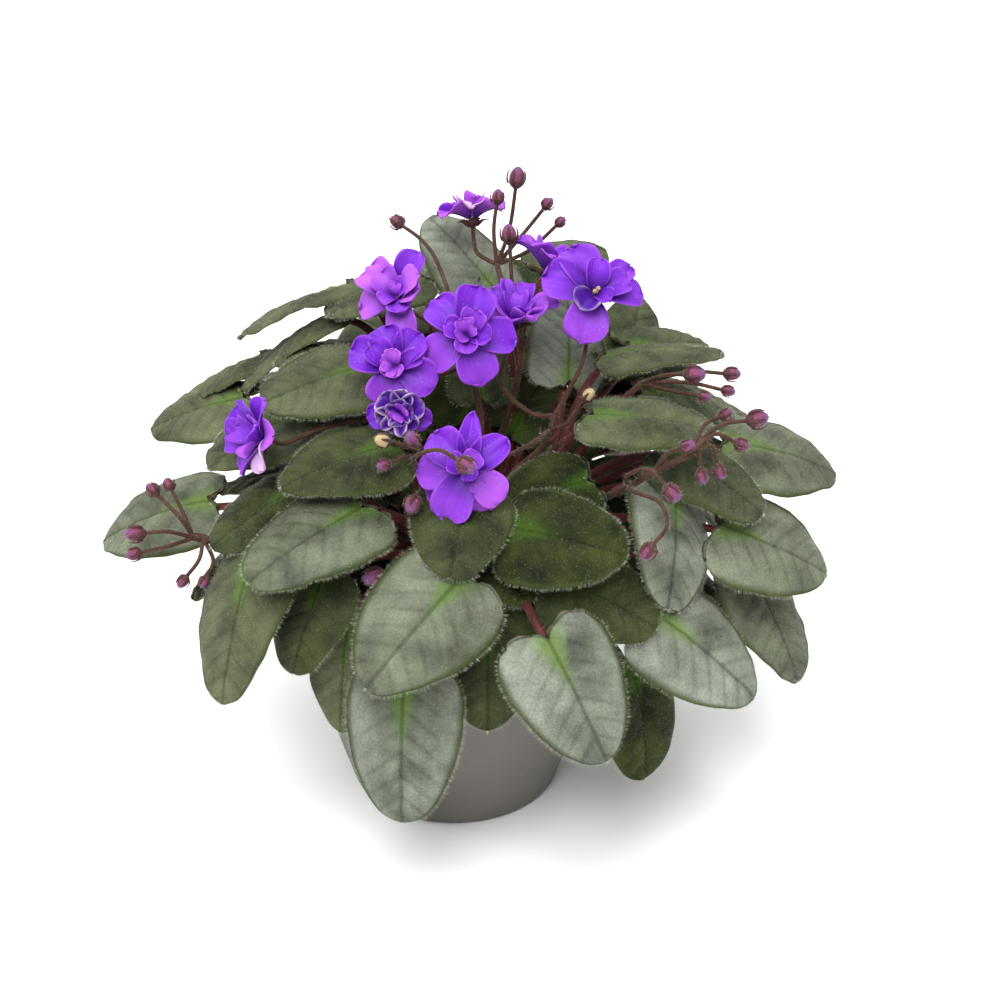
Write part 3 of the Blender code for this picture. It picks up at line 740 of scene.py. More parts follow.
class EffectShelf:
    """Builds the shared node groups, and puts them into materials."""

    groups: dict[Effect, NodeTree] = {}

    @classmethod
    def group(cls, effect: Effect) -> NodeTree:
        """Gives an effect's node group, and builds it the first time.

        Args:
            effect: The effect.

        Returns:
            Its node group.
        """
        if effect not in cls.groups:
            builder = {
                Effect.MOTTLE: cls.build_mottle,
                Effect.FELT: cls.build_felt,
                Effect.SPARKLE: cls.build_sparkle,
            }[effect]
            cls.groups[effect] = builder()
        return cls.groups[effect]

    @staticmethod
    def blank(
        name: str, numbers: Sequence[str], outputs: Sequence[str]
    ) -> tuple[NodeSheet, Node, Node]:
        """Starts a group.

        Args:
            name: The group's name.
            numbers: Its number inputs, beside the place.
            outputs: Its number outputs.

        Returns:
            The sheet, the group's input node and its output node.
        """
        tree = bpy.data.node_groups.new(name, "ShaderNodeTree")
        face = tree.interface
        face.new_socket(name="Place", in_out="INPUT", socket_type="NodeSocketVector")
        for number in numbers:
            face.new_socket(name=number, in_out="INPUT", socket_type="NodeSocketFloat")
        for output in outputs:
            face.new_socket(name=output, in_out="OUTPUT", socket_type="NodeSocketFloat")
        sheet = NodeSheet(tree)
        return sheet, tree.nodes.new("NodeGroupInput"), tree.nodes.new("NodeGroupOutput")

    @classmethod
    def build_mottle(cls) -> NodeTree:
        """Builds slow cloudy patches: Mask from 0 to 1.

        Returns:
            The node group.
        """
        sheet, start, end = cls.blank("mottle", ["Scale", "Contrast"], ["Mask"])
        feeds = {"Vector": start.outputs["Place"], "Scale": start.outputs["Scale"], "Detail": 3.0}
        cloud = sheet.node("TexNoise", feeds).outputs["Fac"]
        centred = sheet.math("SUBTRACT", cloud, 0.5)
        strong = sheet.times(centred, start.outputs["Contrast"])
        sheet.feed(end.inputs["Mask"], sheet.math("ADD", strong, 0.5, clamp=True))
        return sheet.tree

    @classmethod
    def build_felt(cls) -> NodeTree:
        """Builds the nap of very short hairs: Mask from 0 to 1, and a Height.

        Returns:
            The node group.
        """
        sheet, start, end = cls.blank("felt", ["Scale"], ["Mask", "Height"])
        coarse = {"Vector": start.outputs["Place"], "Scale": start.outputs["Scale"], "Detail": 2.0}
        nap = sheet.node("TexNoise", coarse).outputs["Fac"]
        finer = sheet.times(start.outputs["Scale"], 2.6)
        feeds = {"Vector": start.outputs["Place"], "Scale": finer}
        cells = sheet.node("TexVoronoi", feeds).outputs["Distance"]
        height = sheet.math("SUBTRACT", nap, sheet.times(cells, 0.35))
        sheet.feed(end.inputs["Mask"], sheet.band(nap, 0.36, 0.66))
        sheet.feed(end.inputs["Height"], height)
        return sheet.tree

    @classmethod
    def build_sparkle(cls) -> NodeTree:
        """Builds sparse small grains, which make painted glints on the petals and specks on the
        pot: Mask, 1 on a grain.

        Returns:
            The node group.
        """
        sheet, start, end = cls.blank("sparkle", ["Scale", "Share"], ["Mask"])
        feeds = {"Vector": start.outputs["Place"], "Scale": start.outputs["Scale"]}
        cells = sheet.node("TexVoronoi", feeds)
        luck = sheet.split(cells.outputs["Color"])[0]
        chosen = sheet.math("LESS_THAN", luck, start.outputs["Share"])
        grain = sheet.band(cells.outputs["Distance"], 0.34, 0.16)
        sheet.feed(end.inputs["Mask"], sheet.times(chosen, grain))
        return sheet.tree

    @classmethod
    def use(
        cls, sheet: NodeSheet, effect: Effect, place: object, **numbers: float
    ) -> bpy_prop_collection:
        """Puts an effect into a material.

        Args:
            sheet: The material's sheet.
            effect: The effect.
            place: The socket that gives the place.
            numbers: The effect's own values.

        Returns:
            The group's outputs.
        """
        made = sheet.node("Group", node_tree=cls.group(effect))
        sheet.feed(made.inputs["Place"], place)
        for name, value in numbers.items():
            made.inputs[name].default_value = value
        return made.outputs


@dataclass(frozen=True)
class Finish:
    """What every finish has: a name, and the constant sockets of its shader."""

    name: str = "finish"
    roughness: float = 0.5
    specular: float = 0.5
    sheen: float = 0.0
    sheen_roughness: float = 0.4
    sheen_tint: Colour = (1.0, 1.0, 1.0)

    def start(self) -> tuple[Material, NodeSheet, Node]:
        """Makes the material with its constant sockets set.

        Returns:
            The material, its sheet and its shader.
        """
        made = bpy.data.materials.new(self.name)
        made.use_nodes = True
        shader = made.node_tree.nodes["Principled BSDF"]
        shader.inputs["Roughness"].default_value = self.roughness
        shader.inputs["Specular IOR Level"].default_value = self.specular
        shader.inputs["Sheen Weight"].default_value = self.sheen
        shader.inputs["Sheen Roughness"].default_value = self.sheen_roughness
        shader.inputs["Sheen Tint"].default_value = (*self.sheen_tint, 1.0)
        return made, NodeSheet(made.node_tree), shader

    @staticmethod
    def relief(
        sheet: NodeSheet,
        shader: Node,
        height: object,
        depth: float,
        strength: float = 1.0,
    ) -> None:
        """Feeds a height to the shader's normal.

        Args:
            sheet: The material's sheet.
            shader: The shader.
            height: The socket that gives the height, from 0 to 1.
            depth: What a height of 1 stands for, in metres.
            strength: The bump's strength.
        """
        feeds = {"Height": height, "Distance": depth, "Strength": strength}
        sheet.feed(shader.inputs["Normal"], sheet.node("Bump", feeds).outputs["Normal"])


@dataclass(frozen=True)
class LeafFinish(Finish):
    """Velvety olive leaf: sunk veins, a fresh green patch by the stalk, maroon beneath, a painted
    silvery highlight, and painted shade in the midrib groove.
    """

    name: str = "velvet_leaf"
    roughness: float = 0.50
    specular: float = 0.10
    sheen: float = 0.02
    sheen_roughness: float = 0.40
    sheen_tint: Colour = (0.86, 0.94, 0.76)
    deep: Colour = (0.004, 0.007, 0.001)
    olive: Colour = (0.032, 0.043, 0.006)
    # Painted highlight: the next two colours are the silvery sheen painted into the hairy face;
    # the first also tints the pale hair flecks beneath.
    bloom: Colour = (0.320, 0.350, 0.290)
    dull_sheen: Colour = (0.300, 0.330, 0.205)
    # The fresh patch by the stalk, and below it the same patch painted lighter, for leaves given
    # more painted sheen.
    fresh: Colour = (0.040, 0.086, 0.006)
    lit_fresh: Colour = (0.130, 0.210, 0.045)
    margin: Colour = (0.062, 0.086, 0.024)
    under: Colour = (0.072, 0.058, 0.036)

    def material(self) -> Material:
        """Builds the material. The blade's numbers are unpacked first.

        Returns:
            The material.
        """
        made, sheet, shader = self.start()
        across, packed, flank = sheet.attribute("blade")
        along = sheet.math("SUBTRACT", sheet.math("MODULO", packed, PACK_STEP), PACK_SHIFT)
        step = sheet.math("FLOOR", sheet.math("DIVIDE", packed, PACK_STEP))
        sheen_level = sheet.math("DIVIDE", step, MOST_SHEEN_LEVEL)
        under = sheet.band(flank, 4.0, 4.9)
        flank = sheet.math("ABSOLUTE", sheet.math("MULTIPLY_ADD", under, -UNDER_MARK, flank))
        side = sheet.math("ABSOLUTE", across)
        place = sheet.place()
        cloud = EffectShelf.use(sheet, Effect.MOTTLE, place, Scale=95.0, Contrast=2.6)["Mask"]
        slow = EffectShelf.use(sheet, Effect.MOTTLE, place, Scale=38.0, Contrast=2.4)["Mask"]
        felt = EffectShelf.use(sheet, Effect.FELT, place, Scale=1500.0)
        vein = self.vein_mask(sheet, flank, along)
        # Painted highlight: silvery sheen painted into the colour, weaker in the sunk veins as
        # painted shade.
        sheen_share = self.sheen_mask(sheet, side, sheen_level, cloud, slow)
        sheen_share = sheet.times(sheen_share, sheet.math("MULTIPLY_ADD", vein, -0.22, 1.0))
        grain = sheet.math("MULTIPLY_ADD", felt["Mask"], 0.25, 0.75)
        base = sheet.mix(cloud, self.deep, self.olive)
        sheen_tone = sheet.mix(sheet.band(sheen_level, 0.4, 1.0), self.dull_sheen, self.bloom)
        tone = sheet.mix(sheet.times(sheen_share, grain), base, sheen_tone)
        patch = self.patch_mask(sheet, flank, along, cloud)
        # The fresh patch, painted lighter on leaves given more painted sheen.
        fresh = sheet.mix(sheen_level, self.fresh, self.lit_fresh)
        tone = sheet.mix(sheet.times(patch, 0.85), tone, fresh)
        # Painted shade down the midrib groove.
        midrib_groove = sheet.times(sheet.band(flank, 0.06, 0.01), 0.40)
        tone = sheet.mix(midrib_groove, tone, self.deep)
        rim = sheet.times(sheet.band(side, 0.88, 1.0), 0.55)
        tone = sheet.mix(rim, tone, self.margin)
        back = sheet.mix(sheet.times(grain, 0.25), self.under, self.bloom)
        back = sheet.mix(sheet.band(side, 0.6, 0.05), back, self.under)
        sheet.feed(shader.inputs["Base Color"], sheet.mix(under, tone, back))
        gloss = sheet.math("MULTIPLY_ADD", sheen_share, -0.12, self.roughness + 0.06)
        sheet.feed(shader.inputs["Roughness"], gloss)
        cells = sheet.node("TexVoronoi", {"Vector": place, "Scale": 420.0}).outputs["Distance"]
        raised = sheet.math("MULTIPLY_ADD", cells, -0.6, felt["Height"])
        raised = sheet.math("MULTIPLY_ADD", vein, -0.5, raised)
        self.relief(sheet, shader, raised, 0.45 * MM, 0.9)
        return made

    @staticmethod
    def sheen_mask(
        sheet: NodeSheet, side: object, sheen_level: object, cloud: object, slow: object
    ) -> NodeSocket:
        """Draws the painted silvery sheen, a painted highlight of the hairy face, which leaves the
        margin green.

        Args:
            sheet: The material's sheet.
            side: The share of the way from the midrib to the margin.
            sheen_level: How silvery the leaf is.
            cloud: A fine mottling.
            slow: A broad mottling.

        Returns:
            A mask, 1 where the painted sheen is strongest.
        """
        patches = sheet.math("MULTIPLY_ADD", slow, 0.55, 0.12)
        patches = sheet.math("MULTIPLY_ADD", cloud, 0.38, patches)
        amount = sheet.math("MULTIPLY_ADD", sheet.math("POWER", sheen_level, 1.5), 0.96, 0.02)
        amount = sheet.times(amount, patches)
        return sheet.times(amount, sheet.band(side, 1.06, 0.84))

    @staticmethod
    def vein_mask(sheet: NodeSheet, flank: object, along: object) -> NodeSocket:
        """Draws the side veins, which lean forward from the midrib.

        Args:
            sheet: The material's sheet.
            flank: The distance from the midrib, as a share of the blade's half width.
            along: The share of the blade's length.

        Returns:
            A mask, 1 on a vein.
        """
        lean = sheet.times(sheet.math("POWER", flank, VEIN_BEND), VEIN_LEAN)
        phase = sheet.math("SUBTRACT", sheet.times(along, VEINS), lean)
        off = sheet.math("ABSOLUTE", sheet.math("SUBTRACT", sheet.math("FRACT", phase), 0.5))
        vein = sheet.band(off, 0.26, 0.50)
        return sheet.times(vein, sheet.band(flank, 0.90, 0.45))

    @staticmethod
    def patch_mask(
        sheet: NodeSheet, flank: object, along: object, cloud: object
    ) -> NodeSocket:
        """Draws the fresh patch that runs up the midrib from the stalk.

        Args:
            sheet: The material's sheet.
            flank: The distance from the midrib, as a share of the blade's half width.
            along: The share of the blade's length.
            cloud: A fine mottling.

        Returns:
            A mask, 1 on the patch.
        """
        reach = sheet.math("MULTIPLY_ADD", cloud, 0.30, 0.42)
        left = sheet.math("SUBTRACT", 1.0, sheet.math("DIVIDE", along, reach), clamp=True)
        breadth = sheet.math("MULTIPLY_ADD", sheet.math("POWER", left, 1.6), 0.42, 0.06)
        share = sheet.math("DIVIDE", flank, breadth)
        near = sheet.band(share, 1.0, 0.0)
        return sheet.times(near, sheet.band(left, 0.0, 0.75))


@dataclass(frozen=True)
class PetalFinish(Finish):
    """Violet petal: deep at the heart, paler and pinker at the edge, with fine painted glints."""

    name: str = "violet_petal"
    roughness: float = 0.50
    specular: float = 0.22
    sheen: float = 0.05
    sheen_roughness: float = 0.3
    sheen_tint: Colour = (0.85, 0.7, 1.0)
    deep: Colour = (0.048, 0.004, 0.210)
    violet: Colour = (0.118, 0.010, 0.410)
    light: Colour = (0.230, 0.034, 0.600)
    pink: Colour = (0.440, 0.105, 0.640)
    white: Colour = (0.740, 0.620, 0.600)

    def material(self) -> Material:
        """Builds the material.

        Returns:
            The material.
        """
        made, sheet, shader = self.start()
        across, along, tint = sheet.attribute("petal")
        place = sheet.place()
        side = sheet.math("ABSOLUTE", across)
        cloud = EffectShelf.use(sheet, Effect.MOTTLE, place, Scale=160.0, Contrast=3.0)["Mask"]
        tone = sheet.mix(sheet.band(along, 0.05, 0.62), self.deep, self.violet)
        fleck = sheet.times(cloud, 0.7)
        spread = sheet.times(fleck, sheet.band(along, 0.3, 1.0))
        tone = sheet.mix(spread, tone, self.light)
        streak = sheet.math("SINE", sheet.times(across, 21.0))
        line = sheet.times(sheet.band(streak, 0.80, 1.0), 0.22)
        tone = sheet.mix(line, tone, self.deep)
        edge = sheet.math("MAXIMUM", sheet.band(side, 0.86, 1.0), sheet.band(along, 0.93, 1.0))
        tone = sheet.mix(sheet.times(edge, 0.25), tone, self.pink)
        faded = sheet.band(tint, 2.4, 2.6)
        rimmed = sheet.math("SUBTRACT", sheet.band(tint, 1.4, 1.6), faded, clamp=True)
        blush = sheet.math("SUBTRACT", sheet.band(tint, 0.0, 1.1), rimmed, clamp=True)
        blush = sheet.times(blush, sheet.band(along, -0.1, 0.8))
        tone = sheet.mix(sheet.times(blush, 0.85), tone, self.pink)
        tone = sheet.mix(sheet.times(rimmed, 0.85), tone, self.deep)
        frill = sheet.math("MAXIMUM", sheet.band(side, 0.70, 1.1), sheet.band(along, 0.80, 1.1))
        frill = sheet.times(frill, fleck)
        tone = sheet.mix(sheet.times(rimmed, frill), tone, self.white)
        tone = sheet.mix(sheet.times(faded, 0.5), tone, self.white)
        # Painted glints: sparse white flecks that stand for light reflected off the petal.
        grain = EffectShelf.use(sheet, Effect.SPARKLE, place, Scale=2200.0, Share=0.10)["Mask"]
        patches = EffectShelf.use(sheet, Effect.MOTTLE, place, Scale=210.0, Contrast=7.0)["Mask"]
        grain = sheet.times(grain, patches)
        tone = sheet.mix(sheet.times(grain, 0.4), tone, self.white)
        sheet.feed(shader.inputs["Base Color"], tone)
        ridge = sheet.times(sheet.noise(place, 900.0), 0.6)
        ridge = sheet.math("MULTIPLY_ADD", streak, 0.12, ridge)
        self.relief(sheet, shader, ridge, 0.12 * MM, 0.7)
        return made


@dataclass(frozen=True)
class BudFinish(Finish):
    """Hairy bud and its stalk: maroon-brown calyx, mauve folded petals at the tip."""

    name: str = "hairy_bud"
    roughness: float = 0.6
    specular: float = 0.2
    sheen: float = 0.08
    sheen_tint: Colour = (1.0, 0.86, 0.86)
    stalk: Colour = (0.036, 0.015, 0.010)
    stalk_lit: Colour = (0.076, 0.034, 0.020)
    calyx: Colour = (0.070, 0.024, 0.026)
    petal: Colour = (0.200, 0.042, 0.105)
    tip: Colour = (0.175, 0.058, 0.185)
    cream: Colour = (0.420, 0.320, 0.170)

    def material(self) -> Material:
        """Builds the material. The third number is 0 stalk, 1 calyx, 2 petals, 3 cream.

        Returns:
            The material.
        """
        made, sheet, shader = self.start()
        along, _, kind = sheet.attribute("sprig")
        place = sheet.place()
        cloud = EffectShelf.use(sheet, Effect.MOTTLE, place, Scale=260.0, Contrast=3.0)["Mask"]
        felt = EffectShelf.use(sheet, Effect.FELT, place, Scale=1900.0)
        stalk = sheet.mix(cloud, self.stalk, self.stalk_lit)
        petal = sheet.mix(sheet.band(along, 0.55, 0.95), self.petal, self.tip)
        petal = sheet.mix(sheet.times(felt["Mask"], 0.35), petal, self.calyx)
        tone = sheet.mix(sheet.band(kind, 0.3, 0.7), stalk, self.calyx)
        tone = sheet.mix(sheet.band(kind, 1.3, 1.7), tone, petal)
        tone = sheet.mix(sheet.band(kind, 2.3, 2.7), tone, self.cream)
        sheet.feed(shader.inputs["Base Color"], tone)
        self.relief(sheet, shader, felt["Height"], 0.25 * MM, 0.8)
        return made


@dataclass(frozen=True)
class StalkFinish(Finish):
    """Dark maroon leaf stalk and woody crown."""

    name: str = "maroon_stalk"
    roughness: float = 0.5
    specular: float = 0.2
    sheen: float = 0.05
    sheen_tint: Colour = (1.0, 0.85, 0.8)
    wood: Colour = (0.022, 0.012, 0.008)
    maroon: Colour = (0.060, 0.012, 0.012)
    lit: Colour = (0.090, 0.019, 0.016)

    def material(self) -> Material:
        """Builds the material. The third number is 0 wood, 1 leaf stalk.

        Returns:
            The material.
        """
        made, sheet, shader = self.start()
        kind = sheet.attribute("sprig")[2]
        place = sheet.place()
        cloud = EffectShelf.use(sheet, Effect.MOTTLE, place, Scale=180.0, Contrast=3.0)["Mask"]
        felt = EffectShelf.use(sheet, Effect.FELT, place, Scale=1300.0)
        maroon = sheet.mix(cloud, self.maroon, self.lit)
        tone = sheet.mix(sheet.band(kind, 0.3, 0.7), self.wood, maroon)
        sheet.feed(shader.inputs["Base Color"], tone)
        self.relief(sheet, shader, felt["Height"], 0.3 * MM, 0.8)
        return made


@dataclass(frozen=True)
class HairFinish(Finish):
    """Clear silvery plant hair."""

    name: str = "silver_hair"
    roughness: float = 0.4
    sheen: float = 0.2
    root: Colour = (0.140, 0.165, 0.085)
    tip: Colour = (0.600, 0.630, 0.470)

    def material(self) -> Material:
        """Builds the material: darker at the hair's root.

        Returns:
            The material.
        """
        made, sheet, shader = self.start()
        along = sheet.attribute("hair")[0]
        tone = sheet.mix(sheet.band(along, 0.0, 0.6), self.root, self.tip)
        sheet.feed(shader.inputs["Base Color"], tone)
        return made


@dataclass(frozen=True)
class PotFinish(Finish):
    """Matt grey moulded plastic with a faint cloudiness and a few specks, and painted light:
    darker at the foot, paler towards the rim.
    """

    name: str = "grey_pot"
    roughness: float = 0.55
    specular: float = 0.4
    dark: Colour = (0.098, 0.090, 0.077)
    pale: Colour = (0.152, 0.142, 0.125)
    speck: Colour = (0.050, 0.047, 0.042)

    def material(self) -> Material:
        """Builds the material.

        Returns:
            The material.
        """
        made, sheet, shader = self.start()
        place = sheet.place()
        height = sheet.split(place)[2]
        cloud = EffectShelf.use(sheet, Effect.MOTTLE, place, Scale=28.0, Contrast=1.8)["Mask"]
        # Painted light from above: the colour grows paler from the foot to the rim.
        lift = sheet.times(sheet.band(height, 0.0, POT_HEIGHT), 0.5)
        share = sheet.math("MULTIPLY_ADD", cloud, 0.4, lift)
        tone = sheet.mix(share, self.dark, self.pale)
        grain = EffectShelf.use(sheet, Effect.SPARKLE, place, Scale=420.0, Share=0.05)["Mask"]
        tone = sheet.mix(sheet.times(grain, 0.4), tone, self.speck)
        sheet.feed(shader.inputs["Base Color"], tone)
        self.relief(sheet, shader, sheet.noise(place, 1400.0), 0.03 * MM, 0.5)
        return made


@dataclass(frozen=True)
class SoilFinish(Finish):
    """Dark damp compost, and its pale perlite grains."""

    name: str = "dark_compost"
    roughness: float = 0.92
    specular: float = 0.2
    dark: Colour = (0.012, 0.008, 0.006)
    brown: Colour = (0.052, 0.032, 0.020)
    perlite: Colour = (0.520, 0.500, 0.450)

    def material(self) -> Material:
        """Builds the material. The third number is 1 on perlite.

        Returns:
            The material.
        """
        made, sheet, shader = self.start()
        kind = sheet.attribute("crumb")[2]
        place = sheet.place()
        cloud = EffectShelf.use(sheet, Effect.MOTTLE, place, Scale=420.0, Contrast=3.0)["Mask"]
        tone = sheet.mix(cloud, self.dark, self.brown)
        tone = sheet.mix(sheet.band(kind, 0.3, 0.7), tone, self.perlite)
        sheet.feed(shader.inputs["Base Color"], tone)
        self.relief(sheet, shader, sheet.noise(place, 700.0, 5.0), 0.8 * MM)
        return made


@dataclass(frozen=True)
class FloorFinish(Finish):
    """Plain pale studio floor."""

    name: str = "pale_floor"
    roughness: float = 0.85
    specular: float = 0.1
    pale: Colour = (0.90, 0.90, 0.90)

    def material(self) -> Material:
        """Builds the material.

        Returns:
            The material.
        """
        made, sheet, shader = self.start()
        cloud = EffectShelf.use(sheet, Effect.MOTTLE, sheet.place(), Scale=2.0, Contrast=0.3)
        tone = sheet.mix(cloud["Mask"], self.pale, (0.88, 0.88, 0.88))
        sheet.feed(shader.inputs["Base Color"], tone)
        return made


# ---- Hair ----


@dataclass
class HairCoat:
    """Short silvery hairs, each a slim tapered ribbon that stands on a leaf, bud or stalk."""

    name: str
    slot: Slot
    seed: int
    thickness: float = 0.042 * MM
    curl: float = 0.30

    def __post_init__(self) -> None:
        """Starts with no hairs."""
        self.dice = random.Random(self.seed)
        self.hairs: list[tuple[Vector, Vector]] = []

    def scatter(self) -> Vector:
        """Gives a random vector of up to 1 each way."""
        roll = self.dice.uniform
        return Vector((roll(-1, 1), roll(-1, 1), roll(-1, 1)))

    def add(self, root: Vector, growth: Vector, length: float, stray: float = 0.35) -> None:
        """Plants one hair.

        Args:
            root: Where it stands.
            growth: The way it grows.
            length: Its length.
            stray: How far it may stray from that way.
        """
        way = (growth.normalized() + self.scatter() * stray).normalized()
        self.hairs.append((root, way * length * self.dice.uniform(0.6, 1.25)))

    def felt(self, faces: Iterable[BMFace], density: float, length: float) -> None:
        """Plants hairs all over four-sided faces.

        Args:
            faces: The faces.
            density: Hairs per square metre.
            length: Their length.
        """
        for face in faces:
            wanted = face.calc_area() * density
            count = int(wanted) + (self.dice.random() < wanted % 1)
            corners = [vert.co for vert in face.verts]
            for _ in range(count):
                low = corners[0].lerp(corners[1], self.dice.random())
                high = corners[3].lerp(corners[2], self.dice.random())
                self.add(low.lerp(high, self.dice.random()), face.normal, length, 0.75)

    def fringe(self, edges: Iterable[BMEdge], spacing: float, length: float) -> None:
        """Plants hairs along the open edges of a sheet.

        Args:
            edges: The edges, each with one face.
            spacing: The distance between hairs.
            length: Their length.
        """
        for edge in edges:
            face = edge.link_faces[0]
            first, last = (vert.co for vert in edge.verts)
            tangent = (last - first).normalized()
            outward = tangent.cross(face.normal)
            if outward.dot(first - face.calc_center_median()) < 0:
                outward.negate()
            for _ in range(max(1, round((last - first).length / spacing))):
                growth = outward + face.normal * self.dice.uniform(-0.1, 0.5)
                self.add(first.lerp(last, self.dice.random()), growth, length, 0.25)

    def sleeve(
        self, path: Sequence[Vector], radii: Sequence[float], spacing: float, length: float
    ) -> None:
        """Plants hairs all round a stalk.

        Args:
            path: Points of the stalk's middle line.
            radii: Its radius at each point.
            spacing: The length of stalk that one hair has to itself.
            length: Their length.
        """
        for index in range(len(path) - 1):
            span = path[index + 1] - path[index]
            ahead = span.normalized()
            wanted = span.length / spacing
            count = int(wanted) + (self.dice.random() < wanted % 1)
            for _ in range(count):
                out = self.scatter()
                out = (out - ahead * out.dot(ahead)).normalized()
                share = self.dice.random()
                radius = radii[index] + (radii[index + 1] - radii[index]) * share
                root = path[index] + span * share + out * radius * 0.95
                self.add(root, out + ahead * 0.25, length)

    def build(self, skin: Material) -> Object:
        """Makes the piece.

        Args:
            skin: Its material.

        Returns:
            The finished piece.
        """
        coat = Surface("hair")
        form, mark = coat.form, coat.mark
        for number, (root, _) in enumerate(self.hairs):
            form.verts.new(root)[mark] = (0, number, 0)
        tips = list(form.verts)
        bends = [self.scatter() * self.curl for _ in self.hairs]
        for step in (0.5, 1.0):
            tips = bmesh.ops.extrude_vert_indiv(form, verts=tips)["verts"]
            for vert in tips:
                number = int(vert[mark].y)
                way = self.hairs[number][1]
                vert.co += way * 0.5 + bends[number] * way.length * (step - 0.5)
                vert[mark] = (step, number, 0)
        wide = bmesh.ops.extrude_edge_only(form, edges=list(form.edges))["geom"]
        for vert in points_of(wide):
            step, number, _ = vert[mark]
            way = self.hairs[int(number)][1]
            side = way.cross(bends[int(number)]).normalized()
            vert.co += side * self.thickness * (1 - 0.75 * step)
        return coat.finish(self.name, skin, self.slot)


# ---- Leaves ----

LOBE = 0.13  # how far the lobes reach behind the stalk, as a share of the blade
EGG = 0.27  # how much wider the blade is near the stalk
DOME_CENTRE = Vector((0, 0, 70 * MM))
DOME_LEAN = 0.7
FIRST_STATION = 35.0  # degrees round a blade's outline where its first row of points lies
LAST_STATION = 179.0  # and its last
ROW_SPAN = 38  # degrees over which the rows by the stalk straighten
TIP_STATION = 135  # degrees from which the tip is drawn out


@dataclass
class Blade:
    """The surface of one leaf blade."""

    plan: LeafPlan
    dice: random.Random
    quilt: float = 0.70 * MM
    wave: float = 1.6 * MM
    skin: float = 0.35 * MM
    thickness: float = 0.95 * MM

    def __post_init__(self) -> None:
        """Works out the blade's sizes and its frame."""
        self.half = self.plan.width * MM * 0.52
        self.length = self.plan.length * MM
        self.frame = self.placed()
        roll = self.dice.uniform
        self.shift = Vector((roll(0, 90), roll(0, 90), roll(0, 90)))
        self.tip = roll(0.02, 0.07)
        self.taper = roll(0.56, 0.72)

    def placed(self) -> Matrix:
        """Gives the blade's frame: X across it, Y along its midrib, Z up from its face.

        Returns:
            The frame, which stands where the stalk ends.
        """
        plan = self.plan
        base = polar(plan.azimuth, plan.reach, plan.height)
        along = aimed(plan.heading, plan.pitch)
        outward = (base + along * self.length / 2 - DOME_CENTRE).normalized()
        upper = Vector((0, 0, 1)).lerp(outward, DOME_LEAN)
        side = along.cross(upper).normalized()
        upper = side.cross(along)
        turn = Matrix((side, along, upper)).transposed().to_4x4()
        roll = Matrix.Rotation(math.radians(plan.roll), 4, "Y")
        return Matrix.Translation(base) @ turn @ roll

    def station(self, across: float, turn: float) -> tuple[float, float]:
        """Lays a point out in the blade's outline.

        Args:
            across: From -1 at the left margin to 1 at the right.
            turn: Degrees round the outline, from the lobes to the tip.

        Returns:
            The distance from the midrib, and the share of the length along it.
        """
        angle = math.radians(turn)
        along = (1 - LOBE) / 2 - (1 + LOBE) / 2 * math.cos(angle)
        full = 0.50 if turn < 90 else self.taper
        side = self.half * math.sin(angle) ** full * (1 + EGG * math.cos(angle)) * across
        reach = abs(across)
        drop = (along + LOBE * 0.95) * math.sin(math.pi * min(reach, 1)) ** 0.8
        drop += along * (1 - reach)
        along -= drop * (1 - smooth_step((turn - FIRST_STATION) / ROW_SPAN))
        along += self.tip * max(0.0, (turn - TIP_STATION) / (180 - TIP_STATION)) ** 2
        return side, along

    def point(self, across: float, turn: float) -> Vector:
        """Gives a point of the upper face, in the blade's frame.

        Args:
            across: From -1 at the left margin to 1 at the right.
            turn: Degrees round the outline, from the lobes to the tip.

        Returns:
            The point.
        """
        side, along = self.station(across, turn)
        bend = math.radians(self.plan.droop)
        radius = self.length / bend
        fall = radius * (1 - math.cos(bend * max(along, 0)))
        run = radius * math.sin(bend * along)
        fall += self.plan.arch * self.half * 2 * (side / self.half) ** 2
        level = math.sin(math.pi * min(max(along, 0), 1))
        midrib_groove = max(0.0, 1 - abs(side) / (0.3 * self.half))
        fall += (0.7 * midrib_groove + 0.7 * max(0.0, midrib_groove * 4 - 3)) * MM * level
        return Vector((side, run, self.skin - fall + self.relief(across, side, along)))

    def relief(self, across: float, side: float, along: float) -> float:
        """Gives the height of the swellings between the veins, and of the blade's slow waves.

        Args:
            across: From -1 at the left margin to 1 at the right.
            side: The distance from the midrib.
            along: The share of the blade's length.

        Returns:
            The height above the plain blade.
        """
        reach = abs(across)
        phase = along * VEINS - VEIN_LEAN * abs(side / self.half) ** VEIN_BEND
        swell = 0.5 - 0.5 * math.cos(2 * math.pi * phase)
        swell *= smooth_step(reach / 0.2) * smooth_step((1 - reach) / 0.35)
        spot = Vector((side, along * self.length, 0))
        slow = noise.noise(spot * 55 + self.shift) * (0.35 + reach**2)
        blister = noise.noise(spot * 260 + self.shift) * 0.35 * MM * (1 - reach**4)
        ripple = noise.noise(spot * 190 - self.shift) * 0.9 * MM * reach**5
        return swell * self.quilt + slow * self.wave + blister + ripple


